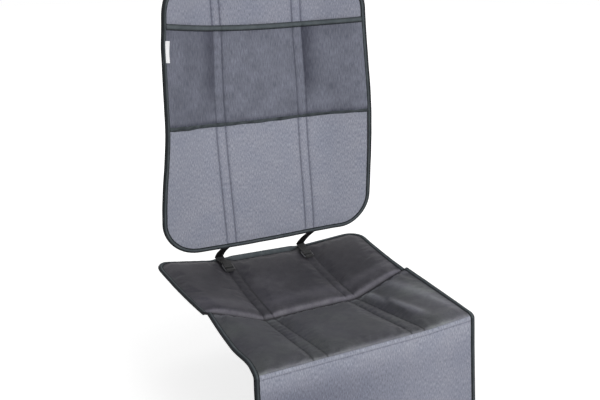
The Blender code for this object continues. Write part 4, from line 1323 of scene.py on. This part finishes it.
def buckle_frame(side):
    """Seat of a buckle on the rear section: its middle, and the ways back and up from there."""
    u = side * CHANNEL + STRAP_SHIFTS[side][0]
    v = REAR_END - BUCKLE_INSET
    reach = BUCKLE_LENGTH / 2
    half = BUCKLE_WIDTH / 2
    back = seat_surface(u, v + reach, 0.0) - seat_surface(u, v - reach, 0.0)
    back.x = 0.0
    back.normalize()
    up = ACROSS.cross(back)
    foot = seat_surface(u, v, 0.0)
    lift = 0.0
    for across in (-half, 0.0, half):
        for along in (-reach, 0.0, reach):
            padded = seat_surface(u + across, v + along, rear_relief(u + across, v + along))
            lift = max(lift, (padded - foot).dot(up))
    return foot + up * lift, back, up


def ladder_lock(name, matrix):
    """A flat plate with two slots, its outer corners rounded and all its edges softened."""
    xs = [-BUCKLE_WIDTH / 2, BUCKLE_SIDE - BUCKLE_WIDTH / 2, BUCKLE_WIDTH / 2 - BUCKLE_SIDE, BUCKLE_WIDTH / 2]
    end = BUCKLE_LENGTH / 2
    ys = [-end, BUCKLE_BAR - end, -BUCKLE_BAR / 2, BUCKLE_BAR / 2, end - BUCKLE_BAR, end]
    bm = bmesh.new()
    bmesh.ops.create_grid(bm, x_segments=3, y_segments=5, size=1.0)
    slots = []
    for face in bm.faces:
        middle = face.calc_center_median()
        if abs(middle.x) < 0.1 and abs(abs(middle.y) - 0.4) < 0.1:
            slots.append(face)
    for vert in bm.verts:
        column = round((vert.co.x + 1.0) / 2 * 3)
        row = round((vert.co.y + 1.0) / 2 * 5)
        vert.co = (xs[column], ys[row], 0.0)
    bmesh.ops.delete(bm, geom=slots, context="FACES")
    plate = bmesh.ops.extrude_face_region(bm, geom=bm.faces[:])
    top = [item for item in plate["geom"] if isinstance(item, bmesh.types.BMVert)]
    bmesh.ops.translate(bm, verts=top, vec=(0.0, 0.0, BUCKLE_THICKNESS / 2))
    others = [vert for vert in bm.verts if vert not in set(top)]
    bmesh.ops.translate(bm, verts=others, vec=(0.0, 0.0, -BUCKLE_THICKNESS / 2))
    corners = []
    for edge in bm.edges:
        a, b = edge.verts
        upright = abs(a.co.z - b.co.z) > BUCKLE_THICKNESS / 2
        if upright and abs(abs(a.co.x) - BUCKLE_WIDTH / 2) < 1e-6 and abs(abs(a.co.y) - end) < 1e-6:
            corners.append(edge)
    bmesh.ops.bevel(
        bm, geom=corners, offset=BUCKLE_CORNER, segments=5, profile=0.5, affect="EDGES", material=-1,
    )
    rims = [edge for edge in bm.edges if edge.is_manifold and edge.calc_face_angle() > SHARP_ANGLE]
    bmesh.ops.bevel(bm, geom=rims, offset=0.0007, segments=3, profile=0.5, affect="EDGES", material=-1)
    bmesh.ops.recalc_face_normals(bm, faces=bm.faces[:])
    bmesh.ops.transform(bm, matrix=matrix, verts=bm.verts[:])
    return finish_piece(name, bm)


for name, side in (("left", -1), ("right", 1)):
    middle, back, up = buckle_frame(side)
    tab_middle = CLEARANCE + TAB_THICKNESS / 2
    buckle_middle = 2 * CLEARANCE + TAB_THICKNESS + BUCKLE_THICKNESS / 2
    over_middle = buckle_middle + BUCKLE_THICKNESS / 2 + CLEARANCE + STRAP_THICKNESS / 2

    def local(along, height):
        return middle + back * along + up * height

    turn = Matrix((ACROSS, back, up)).transposed().to_4x4()
    lock = ladder_lock("buckle_" + name + "_lock", Matrix.Translation(local(0.0, buckle_middle)) @ turn)
    dress(lock, "black_buckle_plastic", [acetal], "buckle_" + name)

    bar = BUCKLE_BAR / 2 + CLEARANCE + TAB_THICKNESS / 2
    front_bar = -(BUCKLE_LENGTH - BUCKLE_BAR) / 2
    slot = (BUCKLE_LENGTH - 3 * BUCKLE_BAR) / 2
    tab_over = buckle_middle + BUCKLE_THICKNESS / 2 + CLEARANCE + TAB_THICKNESS / 2
    nip = TAB_THICKNESS / 2
    tab_route = [local(front_bar + along, height) for along, height in (
        (BUCKLE_BAR / 2 + slot / 2, tab_middle),
        (0.0, tab_middle),
        (nip - bar, tab_middle),
        (-bar, tab_middle + nip),
        (-bar, tab_over - nip),
        (nip - bar, tab_over),
        (bar - nip, tab_over),
        (bar, tab_over - nip),
        (bar, buckle_middle),
    )]
    width = BUCKLE_WIDTH - 2 * BUCKLE_SIDE - 2 * CLEARANCE
    tab_rows = smooth_route(tab_route, 3)
    tab = lay_webbing("tab_" + name, tab_rows, width, TAB_THICKNESS, len(tab_rows))
    dress(tab, "black_webbing", [black_webbing, black_webbing], "buckle_tab_" + name)

    bar = BUCKLE_BAR / 2 + CLEARANCE + STRAP_THICKNESS / 2
    under = buckle_middle - BUCKLE_THICKNESS / 2 - CLEARANCE - STRAP_THICKNESS / 2
    nip = STRAP_THICKNESS / 2
    edge_lift = CLEARANCE + TAPE_WIDTH * 0.12 + CLEARANCE + STRAP_THICKNESS
    seat_u, edge_u, foot_u = (side * CHANNEL + shift for shift in STRAP_SHIFTS[side])
    edge = seat_surface(edge_u, REAR_END, edge_lift)
    hang = -PANEL_THICKNESS - 2 * CLEARANCE - 0.0019 - STRAP_THICKNESS
    foot = panel_surface(foot_u, -STRAP_THICKNESS, hang - STRAP_THICKNESS)
    before_edge = seat_surface(mix(edge_u, seat_u, 0.25), REAR_END - 0.009, edge_lift)
    turned = edge + Vector((0.0, 0.0022, 0.0016))
    bend = edge.lerp(foot, 0.5) + Vector((-0.0015, 0.0045, -0.001))
    strap_route = [
        local(bar, under),
        local(nip - bar, under),
        local(-bar, under + nip),
        local(-bar, over_middle - nip),
        local(nip - bar, over_middle),
        local(BUCKLE_LENGTH / 2 - BUCKLE_BAR, over_middle),
        local(BUCKLE_LENGTH / 2 + STRAP_THICKNESS, over_middle),
        before_edge,
        edge,
        turned,
        bend,
        foot,
        panel_surface(foot_u, TAPE_WIDTH + 0.0008, hang),
        panel_surface(foot_u, STRAP_SEWN, -PANEL_THICKNESS - CLEARANCE - STRAP_THICKNESS / 2),
    ]
    strap_rows = smooth_route(strap_route, 5)
    strap = lay_webbing("webbing_" + name, strap_rows, STRAP_WIDTH, STRAP_THICKNESS, 5 * strap_route.index(edge))
    dress(strap, "black_webbing", [black_webbing, black_webbing], "strap_" + name)


# Headrest strap: 25 mm webbing across the back of the panel's head, sewn at both ends with a
# boxed cross, and slack between them for the headrest's posts.
HEADREST_WIDTH = 0.025
HEADREST_SPAN = 0.170
HEADREST_SEWN = 0.022
HEADREST_SAG = 0.028
HEADREST_LEVEL = PANEL_HEIGHT - 0.060


def headrest_place(u, side, upper):
    flat = HEADREST_SPAN / 2 - HEADREST_SEWN
    slack = HEADREST_SAG * ease((flat - abs(u)) / (flat / 2))
    under = -PANEL_THICKNESS - CLEARANCE - slack
    thin = 0.22 * STRAP_THICKNESS * abs(side) ** 6
    w = under - thin if upper else under - STRAP_THICKNESS + thin
    return panel_surface(u, HEADREST_LEVEL + side * HEADREST_WIDTH / 2, w)


headrest = lay_cloth(
    "headrest_webbing", between(-HEADREST_SPAN / 2, HEADREST_SPAN / 2, 0.002),
    [-1.0, -0.9, -0.6, -0.3, 0.0, 0.3, 0.6, 0.9, 1.0], headrest_place, lambda u, side: (u, side * HEADREST_WIDTH / 2),
)
dress(headrest, "black_webbing", [black_webbing, black_webbing], "headrest_strap")


def behind_panel(points, lift):
    """A path for stitching through webbing behind the panel, on its rear face."""
    w = -PANEL_THICKNESS - CLEARANCE - STRAP_THICKNESS - lift
    return [(panel_surface(u, v, w), panel_surface(u, v, -1.0) - panel_surface(u, v, 0.0)) for u, v in points]


# Dark thread in 3 mm stitches: the boxed crosses, and two lines across the foot of each strap.
STITCH_INSET = 0.003
low = HEADREST_LEVEL - HEADREST_WIDTH / 2 + STITCH_INSET
high = HEADREST_LEVEL + HEADREST_WIDTH / 2 - STITCH_INSET
paths = []
for side in (-1, 1):
    inner = side * (HEADREST_SPAN / 2 - HEADREST_SEWN + STITCH_INSET)
    outer = side * (HEADREST_SPAN / 2 - STITCH_INSET)
    corners = [(inner, low), (outer, low), (outer, high), (inner, high), (inner, low), (outer, high)]
    for (u0, v0), (u1, v1) in [*zip(corners, corners[1:]), ((inner, high), (outer, low))]:
        points = [(mix(u0, u1, k / 8), mix(v0, v1, k / 8)) for k in range(9)]
        paths.append(behind_panel(points, STITCH_LIFT))
    for v in (0.016, 0.029):
        paths.append(behind_panel([(side * CHANNEL + k * 0.002, v) for k in range(-4, 5)], 0.0006))
stitch("strap_stitching", "black_webbing", dark_thread, paths, pitch=0.003, length=0.0024)
